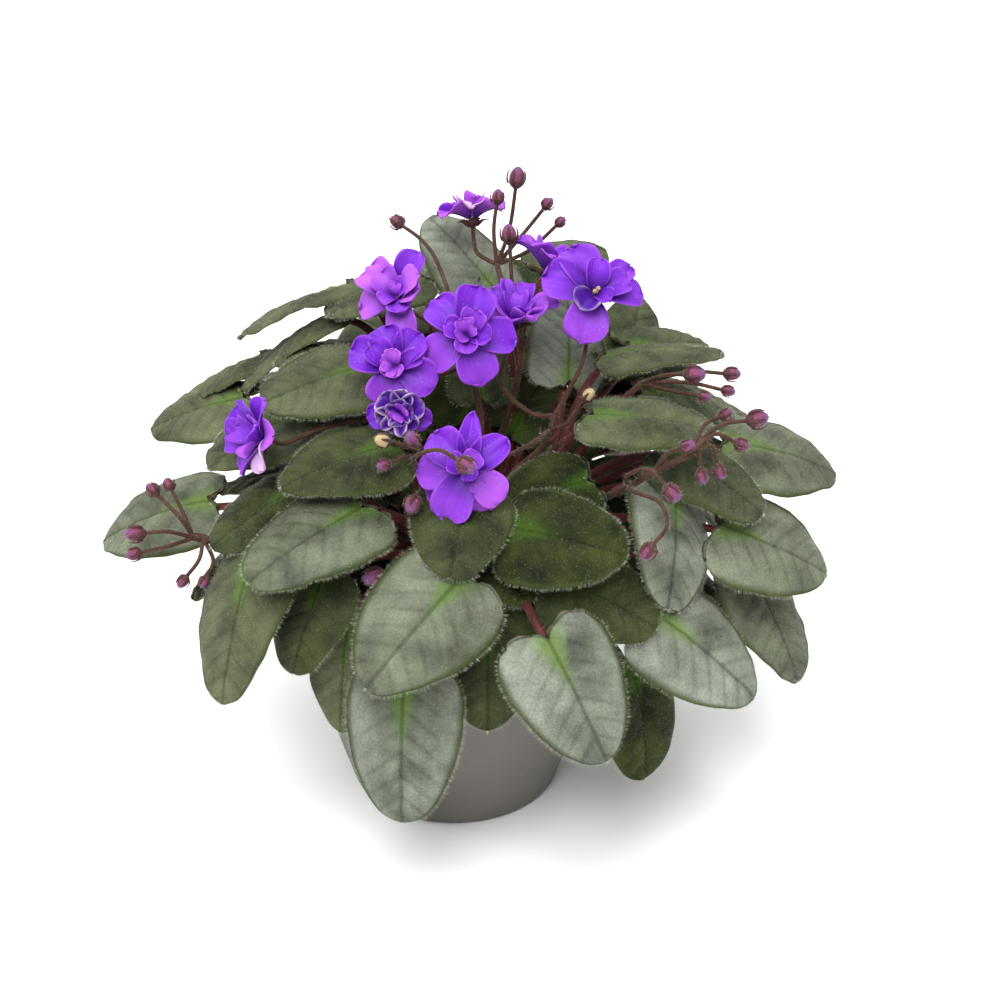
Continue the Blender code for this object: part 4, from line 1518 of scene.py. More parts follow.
@dataclass
class Foliage:
    """A group of leaves that are made as one piece, with the coat of hairs on them."""

    name: str
    plans: Sequence[LeafPlan]
    seed: int
    columns: int = 24
    rows: int = 30
    felt_density: float = 0.95e6
    felt_length: float = 0.6 * MM
    fringe_spacing: float = 0.14 * MM
    fringe_length: float = 1.25 * MM

    def __post_init__(self) -> None:
        """Starts the leaves' surface and their hair coat."""
        self.dice = random.Random(self.seed)
        self.surface = Surface("blade")
        self.coat = HairCoat(self.name + "_hairs", Slot.LEAF, self.seed + 1)

    def grow(self, plan: LeafPlan) -> Blade:
        """Makes one leaf.

        Args:
            plan: Its row of the planting plan.

        Returns:
            Its blade.
        """
        blade = Blade(plan, self.dice)
        sheen_level = SHEEN_LEVEL.get(plan.node, 2)
        work, mark = self.surface.part()
        facing = work.verts.layers.float_vector.new("facing")
        bmesh.ops.create_grid(work, x_segments=self.columns, y_segments=self.rows, size=1)
        for vert in work.verts:
            across = vert.co.x
            turn = FIRST_STATION + (vert.co.y + 1) / 2 * (LAST_STATION - FIRST_STATION)
            side, along = blade.station(across, turn)
            packed = along + PACK_SHIFT + PACK_STEP * sheen_level
            vert[mark] = (across, packed, side / blade.half)
            vert.co = blade.frame @ blade.point(across, turn)
        work.normal_update()
        self.coat.felt(work.faces, self.felt_density, self.felt_length)
        rims = [edge for edge in work.edges if edge.is_boundary]
        self.coat.fringe(rims, self.fringe_spacing, self.fringe_length)
        self.thicken(work, blade, mark, facing)
        self.surface.absorb(work)
        return blade

    @staticmethod
    def thicken(
        work: BMesh,
        blade: Blade,
        mark: BMLayerItem,
        facing: BMLayerItem,
    ) -> None:
        """Gives a blade its under side, thinner to the margin and thicker at the midrib.

        Args:
            work: The blade's upper face.
            blade: The blade.
            mark: The layer that the material reads.
            facing: A layer for the way the upper face looks.
        """
        for vert in work.verts:
            vert[facing] = vert.normal
        grown = bmesh.ops.extrude_face_region(work, geom=list(work.faces), use_keep_orig=True)
        for vert in points_of(grown["geom"]):
            across, packed, flank = vert[mark]
            along = packed % PACK_STEP - PACK_SHIFT
            keel = max(0.0, 1 - abs(across) / 0.12) * (1 - min(max(along, 0), 1))
            depth = blade.thickness * (1 - 0.6 * across**4) + keel * 0.9 * MM
            vert.co -= vert[facing] * depth
            vert[mark] = (across, packed, flank + UNDER_MARK)
        bmesh.ops.recalc_face_normals(work, faces=work.faces)
        work.verts.layers.float_vector.remove(facing)

    def build(self, leaf_skin: Material, hair_skin: Material) -> list[Blade]:
        """Makes the group's pieces.

        Args:
            leaf_skin: The leaves' material.
            hair_skin: The hairs' material.

        Returns:
            The group's blades.
        """
        blades = [self.grow(plan) for plan in self.plans]
        nodes = {plan.node for plan in self.plans if not plan.node.startswith("crown")}
        self.surface.finish(self.name, leaf_skin, Slot.LEAF, sorted(nodes))
        self.coat.build(hair_skin)
        return blades


# ---- Crown and leaf stalks ----


@dataclass
class Crown:
    """The short trunk, its branches, and a stalk for every blade."""

    seed: int = 41
    trunk_radius: float = 6.5 * MM
    head_radius: float = 11 * MM
    trunk_top: float = 100 * MM
    branch_radius: float = 4.6 * MM
    branches: int = 6
    branch_reach: float = 21  # mm from the trunk's axis to a branch's top
    branch_height: float = 92  # mm
    stalk_radius: float = 1.5 * MM
    stalk_end: float = 0.8  # a stalk's end radius, as a share of stalk_radius
    under: float = 2.5 * MM  # how far the stalk's end lies beneath the blade's foot, along it
    solid_blade: float = 1.1 * MM  # the thickness of the solids' blades
    clearance: float = 0.8 * MM  # between such a blade and the stalk's end

    def __post_init__(self) -> None:
        """Starts the crown's surface and its hair coat."""
        self.surface = Surface("sprig")
        self.coat = HairCoat("leaf_stalk_hairs", Slot.STALK, self.seed)

    def branch_tip(self, azimuth: float) -> Vector:
        """Gives the top of the branch that is nearest to an azimuth."""
        step = 360 / self.branches
        return polar(round(azimuth / step) * step, self.branch_reach, self.branch_height)

    def trunk(self) -> None:
        """Makes the trunk and its branches, rough with old leaf scars."""
        hub = Vector((0, 0, SOIL_TOP))
        rise = smooth_path([hub - Vector((0, 0, 12 * MM)), hub, Vector((0, 0, self.trunk_top))], 8)
        radii = [self.trunk_radius] * 9
        grow = self.head_radius - self.trunk_radius
        radii += [self.trunk_radius + grow * step / 8 for step in range(1, 9)]
        rough = self.surface.tube(rise, radii, sides=20)
        for index in range(self.branches):
            tip = self.branch_tip(index * 360 / self.branches)
            bend = hub.lerp(tip, 0.5) - Vector((0, 0, 3 * MM))
            path = smooth_path([hub, bend, tip], 7)
            radii = [self.branch_radius * (1.1 - 0.3 * step / 14) for step in range(15)]
            rough += self.surface.tube(path, radii, sides=14)
        for vert in rough:
            vert.co += noise.noise_vector(vert.co * 420) * 0.9 * MM

    def stalk(self, blade: Blade) -> None:
        """Makes one leaf stalk, which runs on beneath the blade as its midrib.

        Args:
            blade: The blade that it carries.
        """
        plan = blade.plan
        frame = blade.frame
        along = frame.col[1].xyz
        below = self.solid_blade / 2 + self.stalk_radius * self.stalk_end + self.clearance
        end = frame @ Vector((0, self.under, -below))
        level = min(max((plan.height - 70) / 80, 0.15), 0.9)
        hub = Vector((0, 0, SOIL_TOP))
        root = hub.lerp(self.branch_tip(plan.azimuth), level)
        span = (end - root).length
        start = (root - hub).normalized()
        leave = root + start * 0.35 * span
        path = interpolate_bezier(root, leave, end - along * 0.28 * span, end, 18)
        radii = [self.stalk_radius * (1.15 - 0.35 * step / 17) for step in range(18)]
        self.coat.sleeve(path, radii, 0.42 * MM, 1.1 * MM)
        for step in range(1, 9):
            share = step / 8
            turn = 70 + 80 * share
            path.append(frame @ (blade.point(0, turn) - Vector((0, 0, blade.thickness))))
            radii.append(self.stalk_radius * (0.72 - 0.5 * share))
        self.surface.tube(path, radii, sides=10, kind=1)

    def build(
        self, blades: Iterable[Blade], skin: Material, hair_skin: Material
    ) -> None:
        """Makes the crown's pieces.

        Args:
            blades: Every blade of the plant.
            skin: The stalks' material.
            hair_skin: The hairs' material.
        """
        self.trunk()
        for blade in blades:
            self.stalk(blade)
        self.surface.finish("crown_and_leaf_stalks", skin, Slot.STALK, ["crown"])
        self.coat.build(hair_skin)


# ---- Blooms ----

CUP_RISE = (-3.2, -2.6, -1.8, -1.1, -0.6, -0.3)  # mm: a bloom's cup, from its foot to its top
CUP_RADII = (0.8, 1.35, 1.7, 1.8, 1.6, 0.9)  # mm
CUP_SEPAL = ((1.2, -2.6), (2.2, -1.6), (3.2, -0.9), (4.4, -0.6), (5.6, -0.9))  # mm out and up
ANTHER = ((0.2, 0.3), (0.4, 1.6), (0.6, 2.6), (0.75, 3.2))  # mm out and up
ANTHER_RADII = (0.35, 0.4, 0.75, 0.55)  # mm
STYLE_RISE = (0.2, 2.4, 3.8, 4.6)  # mm
STYLE_RADII = (0.3, 0.24, 0.2, 0.3)  # mm
PETAL_FOOT = 10  # degrees round a petal's outline where its first row of points lies
PETAL_SWEEP = 168.5  # degrees from there to its last row
SEPALS = 5
SEPAL_STEP = 360 / SEPALS
SEPAL_SWELL = (0.75, 1.0, 0.9, 0.62, 0.22)  # a sepal's width from foot to tip


def bloom_frame(plan: BloomPlan) -> Matrix:
    """Gives a bloom's frame: Z looks out of the flower, and Y is 12 o'clock in it.

    Args:
        plan: The bloom's row of the planting plan.

    Returns:
        The frame.
    """
    out = aimed(plan.heading, plan.pitch)
    right = Vector((0, 0, 1)).cross(out).normalized()
    turn = Matrix((right, out.cross(right), out)).transposed().to_4x4()
    return Matrix.Translation(Vector(plan.middle) * MM) @ turn


@dataclass(frozen=True)
class Petal:
    """One petal: its clock angle as one looks into the flower, its size in mm, and its form.

    Its tint runs from 0, deep violet, to 1, pink; 2 is deep with a white edge, and 3 is pale.
    """

    clock: float
    length: float
    width: float
    lift: float
    cup: float = 0.14
    tint: float = 0.0
    root: float = 1.6
    curl: float = 22
    taper: float = 0.0

    def point(self, across: float, turn: float, phase: float) -> Vector:
        """Gives a point of the petal.

        Args:
            across: From -1 at one margin to 1 at the other.
            turn: Degrees round the outline, from the foot to the end.
            phase: Where its frill starts.

        Returns:
            The point, in the bloom's frame.
        """
        angle = math.radians(turn)
        along = (1 - math.cos(angle)) / 2
        half = self.width * 0.47 * math.sin(angle) ** 0.55 * (1.0 - 0.26 * math.cos(angle))
        half *= 1 - self.taper * max(0.0, along - 0.35)
        side = half * across
        share = along * (1 - 0.06 * across**2)
        rise = math.radians(self.lift - self.curl * share)
        up = self.length * share * math.sin(rise)
        up += 1.3 * self.cup * self.width * (2 * side / self.width) ** 2
        edge = max(abs(across) ** 3, along**5)
        up += 0.065 * self.width * edge * math.sin(across * 4.6 + along * 3 + phase)
        up += 0.030 * self.width * math.cos(across * 7 + phase) * along
        out = self.root * min(1.0, self.length / 12) ** 2 + self.length * share * math.cos(rise)
        spot = Vector((side, out, up)) * MM
        spot.rotate(Matrix.Rotation(math.radians(-self.clock), 3, "Z"))
        return spot


# Every bloom's petals, each a row with the fields of a Petal in their order.
PETALS = {
    "bloom_01": (
        (22, 14.5, 9.5, 46, 0.20, 0.15),
        (62, 13, 9, 68, 0.20, 0.95),
        (84, 11, 9, 60, 0.20, 0.90),
        (150, 13, 10, 10, 0.10, 0.65),
        (247, 13, 10, 0, 0.08, 0.85),
        (298, 12.5, 12, 28, 0.25, 0.90),
        (310, 8.5, 9, 50, 0.35, 0.70, 1.0),
        (128, 9, 9, 48, 0.30, 0.30, 1.0),
        (56, 7, 6, 66, 0.30, 0.30, 0.8),
        (208, 6, 6, 60, 0.30, 0.40, 0.8),
        (0, 5, 5, 70, 0.35, 0.80, 0.5),
    ),
    "bloom_02": (
        (-44, 14, 12, 18, 0.16, 0.0),
        (16, 14.5, 13, 22, 0.18, 0.0),
        (92, 14, 12, 10, 0.14, 0.10),
        (163, 14.5, 13, 4, 0.12, 0.35),
        (240, 14, 12.5, 2, 0.10, 0.45),
        (-74, 8, 7, 50, 0.32, 0.20, 1.0),
        (28, 9, 8, 66, 0.35, 0.35, 1.0),
        (108, 8.5, 7, 56, 0.35, 0.15, 1.0),
        (186, 7.5, 7, 52, 0.32, 0.40, 1.0),
        (-20, 6.5, 6, 74, 0.40, 0.60, 0.4),
        (60, 5, 5, 78, 0.40, 0.65, 0.3),
        (230, 5.5, 5, 70, 0.40, 0.50, 0.3),
    ),
    "bloom_03": (
        (168, 12, 12, 60, 0.32, 0.60),
        (212, 11.5, 11, 58, 0.30, 0.50),
        (272, 13, 8, 36, 0.22, 0.75, 1.6, 22, 0.3),
        (88, 13.5, 8, 36, 0.22, 0.55, 1.6, 22, 0.3),
        (128, 11, 10, 62, 0.30, 0.65),
        (20, 11, 11, 58, 0.30, 0.15),
        (-34, 11, 11, 58, 0.30, 0.20),
        (150, 8, 8, 76, 0.35, 0.30, 0.8),
        (10, 8, 8, 76, 0.35, 0.30, 0.8),
    ),
    "bloom_04": (
        (-76, 13, 11, 30, 0.18, 0.05),
        (-22, 11.5, 11, 28, 0.18, 0.0),
        (34, 11.5, 11, 24, 0.18, 0.0),
        (108, 12.5, 12, 12, 0.14, 0.30),
        (186, 11.5, 14, 6, 0.12, 0.50),
        (-52, 9.5, 9, 44, 0.28, 0.0, 1.0),
        (68, 9.5, 6, 36, 0.28, 0.25, 1.0),
        (4, 6.5, 5, 70, 0.45, 0.95, 0.6),
        (150, 5.5, 5.5, 62, 0.40, 0.95, 0.6),
        (205, 5, 5, 56, 0.40, 1.0, 0.6),
        (-92, 5, 5, 64, 0.40, 0.85, 0.6),
    ),
    "bloom_05": (
        (-100, 9.5, 8, 20, 0.12, 0.05),
        (104, 9, 7.5, 22, 0.12, 0.15),
        (-48, 8.5, 8, 48, 0.42, 2.0, 0.6),
        (12, 8, 7, 52, 0.42, 2.0, 0.8),
        (62, 8.5, 8, 46, 0.40, 2.0, 0.8),
        (142, 8, 8, 50, 0.42, 2.0, 0.8),
        (196, 7.5, 8, 54, 0.42, 2.0, 0.8),
        (248, 8, 7, 50, 0.42, 2.0, 0.8),
        (-20, 6, 6.5, 68, 0.45, 2.0, 0.6),
        (84, 6, 6, 66, 0.45, 2.0, 0.6),
        (170, 6, 6.5, 70, 0.45, 2.0, 0.6),
        (262, 5.5, 6, 68, 0.45, 2.0, 0.6),
        (40, 4.5, 5, 80, 0.45, 0.8, 0.4),
        (215, 4.5, 5, 80, 0.45, 0.8, 0.4),
    ),
    "bloom_06": (
        (6, 16, 9, 26, 0.18, 0.05, 1.6, 22, 0.9),
        (52, 14, 11, 20, 0.18, 0.05, 1.6, 22, 0.5),
        (-44, 13.5, 12, 16, 0.14, 0.20),
        (-94, 14, 11, 6, 0.10, 0.40),
        (202, 15.5, 13, 10, 0.12, 0.35),
        (128, 13, 11, 8, 0.10, 0.75),
        (228, 15, 10, -8, 0.08, 0.45),
        (160, 15, 10, -8, 0.08, 0.60),
        (42, 7, 6.5, 58, 0.38, 0.40, 1.0),
        (-66, 7, 6.5, 56, 0.38, 0.15, 1.0),
        (150, 5, 5, 60, 0.35, 0.10, 0.8),
    ),
    "bloom_07": (
        (2, 12, 10.5, 40, 0.18, 0.10),
        (58, 10.5, 10, 26, 0.16, 0.80),
        (120, 10.5, 10, 22, 0.16, 3.0),
        (178, 12, 10.5, 36, 0.14, 0.35),
        (238, 13, 11, 62, 0.16, 0.15),
        (300, 13, 11, 62, 0.16, 0.05),
        (268, 9, 9, 74, 0.34, 0.20, 1.0),
        (30, 8, 8, 58, 0.34, 0.20, 1.0),
        (150, 8, 8, 56, 0.34, 0.65, 1.0),
    ),
    "bloom_08": (
        (4, 9.5, 10, 60, 0.26, 3.0, 1.6, 44),
        (-50, 10.5, 10, 46, 0.26, 0.95, 1.6, 40),
        (62, 10.5, 10, 42, 0.22, 0.80, 1.6, 40),
        (104, 10.5, 10, 36, 0.20, 0.30),
        (-100, 10.5, 10, 38, 0.20, 0.30),
        (180, 10, 10, 54, 0.20, 0.10),
        (150, 8, 8, 70, 0.30, 0.20, 1.0),
        (-24, 8, 8, 76, 0.34, 0.90, 1.0),
    ),
    "bloom_09": (
        (0, 11.5, 11, 60, 0.24, 0.55),
        (-50, 12, 10, 50, 0.22, 0.45),
        (52, 12, 10, 46, 0.22, 0.40),
        (104, 12, 9, 40, 0.20, 0.15),
        (-104, 12, 9, 42, 0.20, 0.20),
        (180, 11, 10, 54, 0.20, 0.10),
        (24, 9, 8, 72, 0.34, 0.60, 1.0),
        (-80, 8, 8, 68, 0.34, 0.30, 1.0),
    ),
    "bloom_10": (
        (-64, 15.5, 14, 18, 0.14, 0.15),
        (-16, 15.5, 13, 20, 0.12, 0.25),
        (58, 15, 8.5, 14, 0.14, 0.20),
        (96, 15, 9, 10, 0.14, 0.25),
        (206, 14.5, 14, 2, 0.10, 0.45),
        (12, 10.5, 9, 50, 0.34, 0.0, 1.0, 22, 0.5),
        (80, 11, 8.5, 34, 0.26, 0.15, 1.0),
        (234, 8, 9, 36, 0.35, 2.0, 1.0),
        (140, 6, 6, 52, 0.30, 0.05, 0.8),
    ),
}
ANTHERS_SHOW = ("bloom_06", "bloom_07", "bloom_10")


@dataclass
class Bloom:
    """One flower: whorls of petals on a small calyx, with its anthers."""

    plan: BloomPlan
    petals: Surface
    sprig: Surface
    dice: random.Random
    columns: int = 12
    rows: int = 12

    def petal(self, shape: Petal, frame: Matrix) -> None:
        """Makes one petal.

        Args:
            shape: Its form.
            frame: The bloom's frame.
        """
        phase = self.dice.uniform(0, 6)
        work, mark = self.petals.part()
        facing = work.verts.layers.float_vector.new("facing")
        bmesh.ops.create_grid(work, x_segments=self.columns, y_segments=self.rows, size=1)
        for vert in work.verts:
            across = vert.co.x
            turn = PETAL_FOOT + (vert.co.y + 1) / 2 * PETAL_SWEEP
            vert[mark] = (across, (1 - math.cos(math.radians(turn))) / 2, shape.tint)
            vert.co = frame @ shape.point(across, turn, phase)
        work.normal_update()
        for vert in work.verts:
            vert[facing] = vert.normal
        grown = bmesh.ops.extrude_face_region(work, geom=list(work.faces), use_keep_orig=True)
        for vert in points_of(grown["geom"]):
            across, along, _ = vert[mark]
            vert.co -= vert[facing] * (0.5 - 0.25 * max(abs(across), along)) * MM
        bmesh.ops.recalc_face_normals(work, faces=work.faces)
        work.verts.layers.float_vector.remove(facing)
        self.petals.absorb(work)

    def build(self) -> None:
        """Makes the flower."""
        frame = bloom_frame(self.plan)
        for row in PETALS[self.plan.node]:
            self.petal(Petal(*row), frame)
        self.calyx(frame)
        if self.plan.node in ANTHERS_SHOW:
            self.anthers(frame)

    def calyx(self, frame: Matrix) -> None:
        """Makes the cup beneath the petals, and its five sepals.

        Args:
            frame: The bloom's frame.
        """
        path = [frame @ Vector((0, 0, up * MM)) for up in CUP_RISE]
        self.sprig.tube(path, [radius * MM for radius in CUP_RADII], sides=12, kind=1)
        for index in range(SEPALS):
            turn = Matrix.Rotation(math.radians(index * SEPAL_STEP + 20), 4, "Z")
            path = [frame @ turn @ Vector((0, out * MM, up * MM)) for out, up in CUP_SEPAL]
            sepal(self.sprig, path, 1.0 * MM, frame.col[2].xyz)

    def anthers(self, frame: Matrix) -> None:
        """Makes the two cream anthers and the style.

        Args:
            frame: The bloom's frame.
        """
        radii = [radius * MM for radius in ANTHER_RADII]
        for side in (-1, 1):
            spots = [(side * out * MM, side * 0.4 * MM, up * MM) for out, up in ANTHER]
            self.sprig.tube([frame @ Vector(spot) for spot in spots], radii, sides=8, kind=3)
        path = [frame @ Vector((0.3 * MM, -0.6 * MM, up * MM)) for up in STYLE_RISE]
        self.sprig.tube(path, [radius * MM for radius in STYLE_RADII], sides=6, kind=3)


def sepal(sprig: Surface, path: Sequence[Vector], width: float, facing: Vector) -> None:
    """Makes a lance-shaped sepal or bract along a path.

    Args:
        sprig: The surface that it joins.
        path: Its middle line, five points.
        width: Its width at the widest.
        facing: The way that its inner face looks.
    """
    flat = facing.normalized()
    for vert in sprig.tube(path, [width * swell for swell in SEPAL_SWELL], sides=8, kind=1):
        near = min(path, key=lambda spot: (spot - vert.co).length_squared)
        off = (vert.co - near).dot(flat)
        vert.co -= flat * off * 0.6


# ---- Flower stalks and buds ----

# Up and out from a bud's middle, as shares of its length.
BUD_CUP = ((-0.56, 0.10), (-0.48, 0.22), (-0.36, 0.335), (-0.20, 0.385), (-0.08, 0.35))
# Out and up from there.
BUD_SEPAL = ((0.34, -0.34), (0.41, -0.16), (0.43, 0.04), (0.40, 0.22), (0.34, 0.36))
BRACT = ((0.6, 0.0), (1.5, 0.6), (2.4, 1.5), (3.1, 2.7), (3.4, 4.0))  # mm out and up
BLOOM_FOOT = (-7.4, -3.0)  # mm: how far below a bloom's middle its stalk's last points lie


@dataclass
class FlowerStalks:
    """The sprays: hairy stalks with bracts at their forks, buds, and the calyx of every bloom."""

    seed: int = 77
    stem_radius: float = 1.0 * MM
    pedicel_radius: float = 0.62 * MM
    hair_spacing: float = 0.20 * MM
    hair_length: float = 0.8 * MM
    bud_share: float = 0.88  # of a bud's length in the plan, which its calyx makes up for
    bud_felt: float = 2.6e6  # hairs per square metre
    bud_hair: float = 0.9 * MM

    def __post_init__(self) -> None:
        """Starts the stalks' surface and their hair coat."""
        self.dice = random.Random(self.seed)
        self.surface = Surface("sprig")
        self.coat = HairCoat("flower_stalk_hairs", Slot.BUD, self.seed + 1)
        self.frames = {plan.node: bloom_frame(plan) for plan in BLOOMS}

    def foot(self, bloom: str) -> list[Vector]:
        """Gives the last points of the stalk that carries a bloom."""
        frame = self.frames[bloom]
        return [frame @ Vector((0, 0, up * MM)) for up in BLOOM_FOOT]

    def stalk(self, points: Sequence[Vector], radius: float, end: float = 1.0) -> None:
        """Makes a round hairy stalk.

        Args:
            points: What it runs through.
            radius: Its radius at the root.
            end: The radius at its end, as a share of the one at the root.
        """
        path = smooth_path(points, 5)
        last = len(path) - 1
        radii = [radius * (1 + (end - 1) * step / last) for step in range(last + 1)]
        self.surface.tube(path, radii, sides=9, kind=0)
        self.coat.sleeve(path, radii, self.hair_spacing, self.hair_length)

    def bud(self, spot: Vector, axis: Vector, length: float, kind: int = 2) -> None:
        """Makes one bud: folded petals in a hairy calyx with five sepals.

        Args:
            spot: The bud's middle.
            axis: The way it points.
            length: Its length in metres.
            kind: 2 for mauve petals, 3 for cream.
        """
        length *= self.bud_share
        work, mark = self.surface.part()
        bmesh.ops.create_uvsphere(work, u_segments=20, v_segments=12, radius=0.5)
        twist = self.dice.uniform(0, 6)
        for vert in work.verts:
            share = vert.co.z + 0.5
            turn = math.atan2(vert.co.y, vert.co.x)
            crease = abs(math.cos(2.5 * (turn + share * 0.8) + twist))
            pinch = 1 - 0.16 * share * (1 - crease) ** 2
            slim = 0.80 - 0.12 * share**2
            vert[mark] = (share, 0, kind)
            vert.co.x *= slim * pinch
            vert.co.y *= slim * pinch
            vert.co.z *= 1 + 0.10 * max(0.0, vert.co.z)
        turn = axis.to_track_quat("Z", "Y").to_matrix().to_4x4()
        frame = Matrix.Translation(spot) @ turn
        size = Matrix.Diagonal((length, length, length, 1))
        bmesh.ops.transform(work, matrix=frame @ size, verts=work.verts)
        sides = [face for face in work.faces if len(face.verts) == 4]
        self.coat.felt(sides, self.bud_felt, self.bud_hair)
        self.surface.absorb(work)
        self.sepals(frame, length)

    def sepals(self, frame: Matrix, length: float) -> None:
        """Makes the calyx cup of a bud and its five sepals.

        Args:
            frame: The bud's frame, with Z along it.
            length: The bud's length.
        """
        path = [frame @ Vector((0, 0, up * length)) for up, _ in BUD_CUP]
        self.surface.tube(path, [out * length for _, out in BUD_CUP], sides=14, kind=1, dome=False)
        for index in range(SEPALS):
            way = math.radians(index * SEPAL_STEP + self.dice.uniform(-9, 9))
            turn = Matrix.Rotation(way, 4, "Z")
            spread = self.dice.uniform(0.96, 1.14)
            spots = [(0, out * length * spread, up * length) for out, up in BUD_SEPAL]
            path = [frame @ turn @ Vector(spot) for spot in spots]
            facing = frame.to_3x3() @ turn.to_3x3() @ Vector((0, 1, 0))
            sepal(self.surface, path, 0.115 * length, facing)

    def bracts(self, spot: Vector, axis: Vector) -> None:
        """Makes the two small bracts at a fork.

        Args:
            spot: The fork.
            axis: The way of the stalk there.
        """
        frame = Matrix.Translation(spot) @ axis.to_track_quat("Z", "Y").to_matrix().to_4x4()
        for side in (-1, 1):
            path = [frame @ Vector((side * out * MM, 0, up * MM)) for out, up in BRACT]
            sepal(self.surface, path, 0.8 * MM, frame.col[0].xyz)

    def budded(self, points: Sequence[Vector], length: float, cream: bool = False) -> None:
        """Makes a pedicel with a bud on its end.

        Args:
            points: What the pedicel runs through.
            length: The bud's length in millimetres.
            cream: Whether its petals are cream.
        """
        self.stalk(points, self.pedicel_radius * 1.15, 0.85)
        axis = (points[-1] - points[-2]).normalized()
        spot = points[-1] + axis * length * 0.4 * MM
        self.bud(spot, axis, length * MM, 3 if cream else 2)

    def spray(self, plan: SprayPlan) -> None:
        """Makes one spray.

        Args:
            plan: Its row of the planting plan.
        """
        stem = metres(plan.stem)
        forks = metres(plan.fork)
        forks[0] = stem[-1] + (forks[0] - stem[-1]).normalized() * STEM_GAP
        self.stalk([SPRAY_ROOT, *stem, *forks[1:]], self.stem_radius * 1.15, 0.85)
        self.bracts(forks[0], (forks[1] - forks[0]).normalized())
        for pedicel in plan.pedicels:
            points = [forks[pedicel.fork], *metres(pedicel.path)]
            if pedicel.fork == 0:
                points[0] = forks[0].lerp(forks[1], FIRST_FORK)
            if pedicel.bloom:
                self.stalk(points + self.foot(pedicel.bloom), self.pedicel_radius * 1.2, 0.85)
            else:
                self.budded(points, pedicel.bud, pedicel.cream)

    def build(
        self,
        blooms: Iterable[BloomPlan],
        bud_skin: Material,
        petal_skin: Material,
        hair_skin: Material,
    ) -> None:
        """Makes the sprays' and the blooms' pieces.

        Args:
            blooms: The blooms' rows of the planting plan.
            bud_skin: The material of stalks, buds, calyxes and anthers.
            petal_skin: The petals' material.
            hair_skin: The hairs' material.
        """
        for plan in SPRAYS:
            self.spray(plan)
        lone = metres(LONE_BLOOM_STEM) + self.foot(LONE_BLOOM)
        self.stalk([SPRAY_ROOT, *lone], self.stem_radius, 0.75)
        self.budded([SPRAY_ROOT, *metres(LONE_BUD_STEM)], LONE_BUD)
        petals = Surface("petal")
        for plan in blooms:
            Bloom(plan, petals, self.surface, self.dice).build()
        petals.finish("petals", petal_skin, Slot.PETAL, [plan.node for plan in BLOOMS])
        nodes = [plan.node for plan in SPRAYS]
        self.surface.finish("flower_stalks_and_buds", bud_skin, Slot.BUD, nodes)
        self.coat.build(hair_skin)


# ---- Pot and soil ----


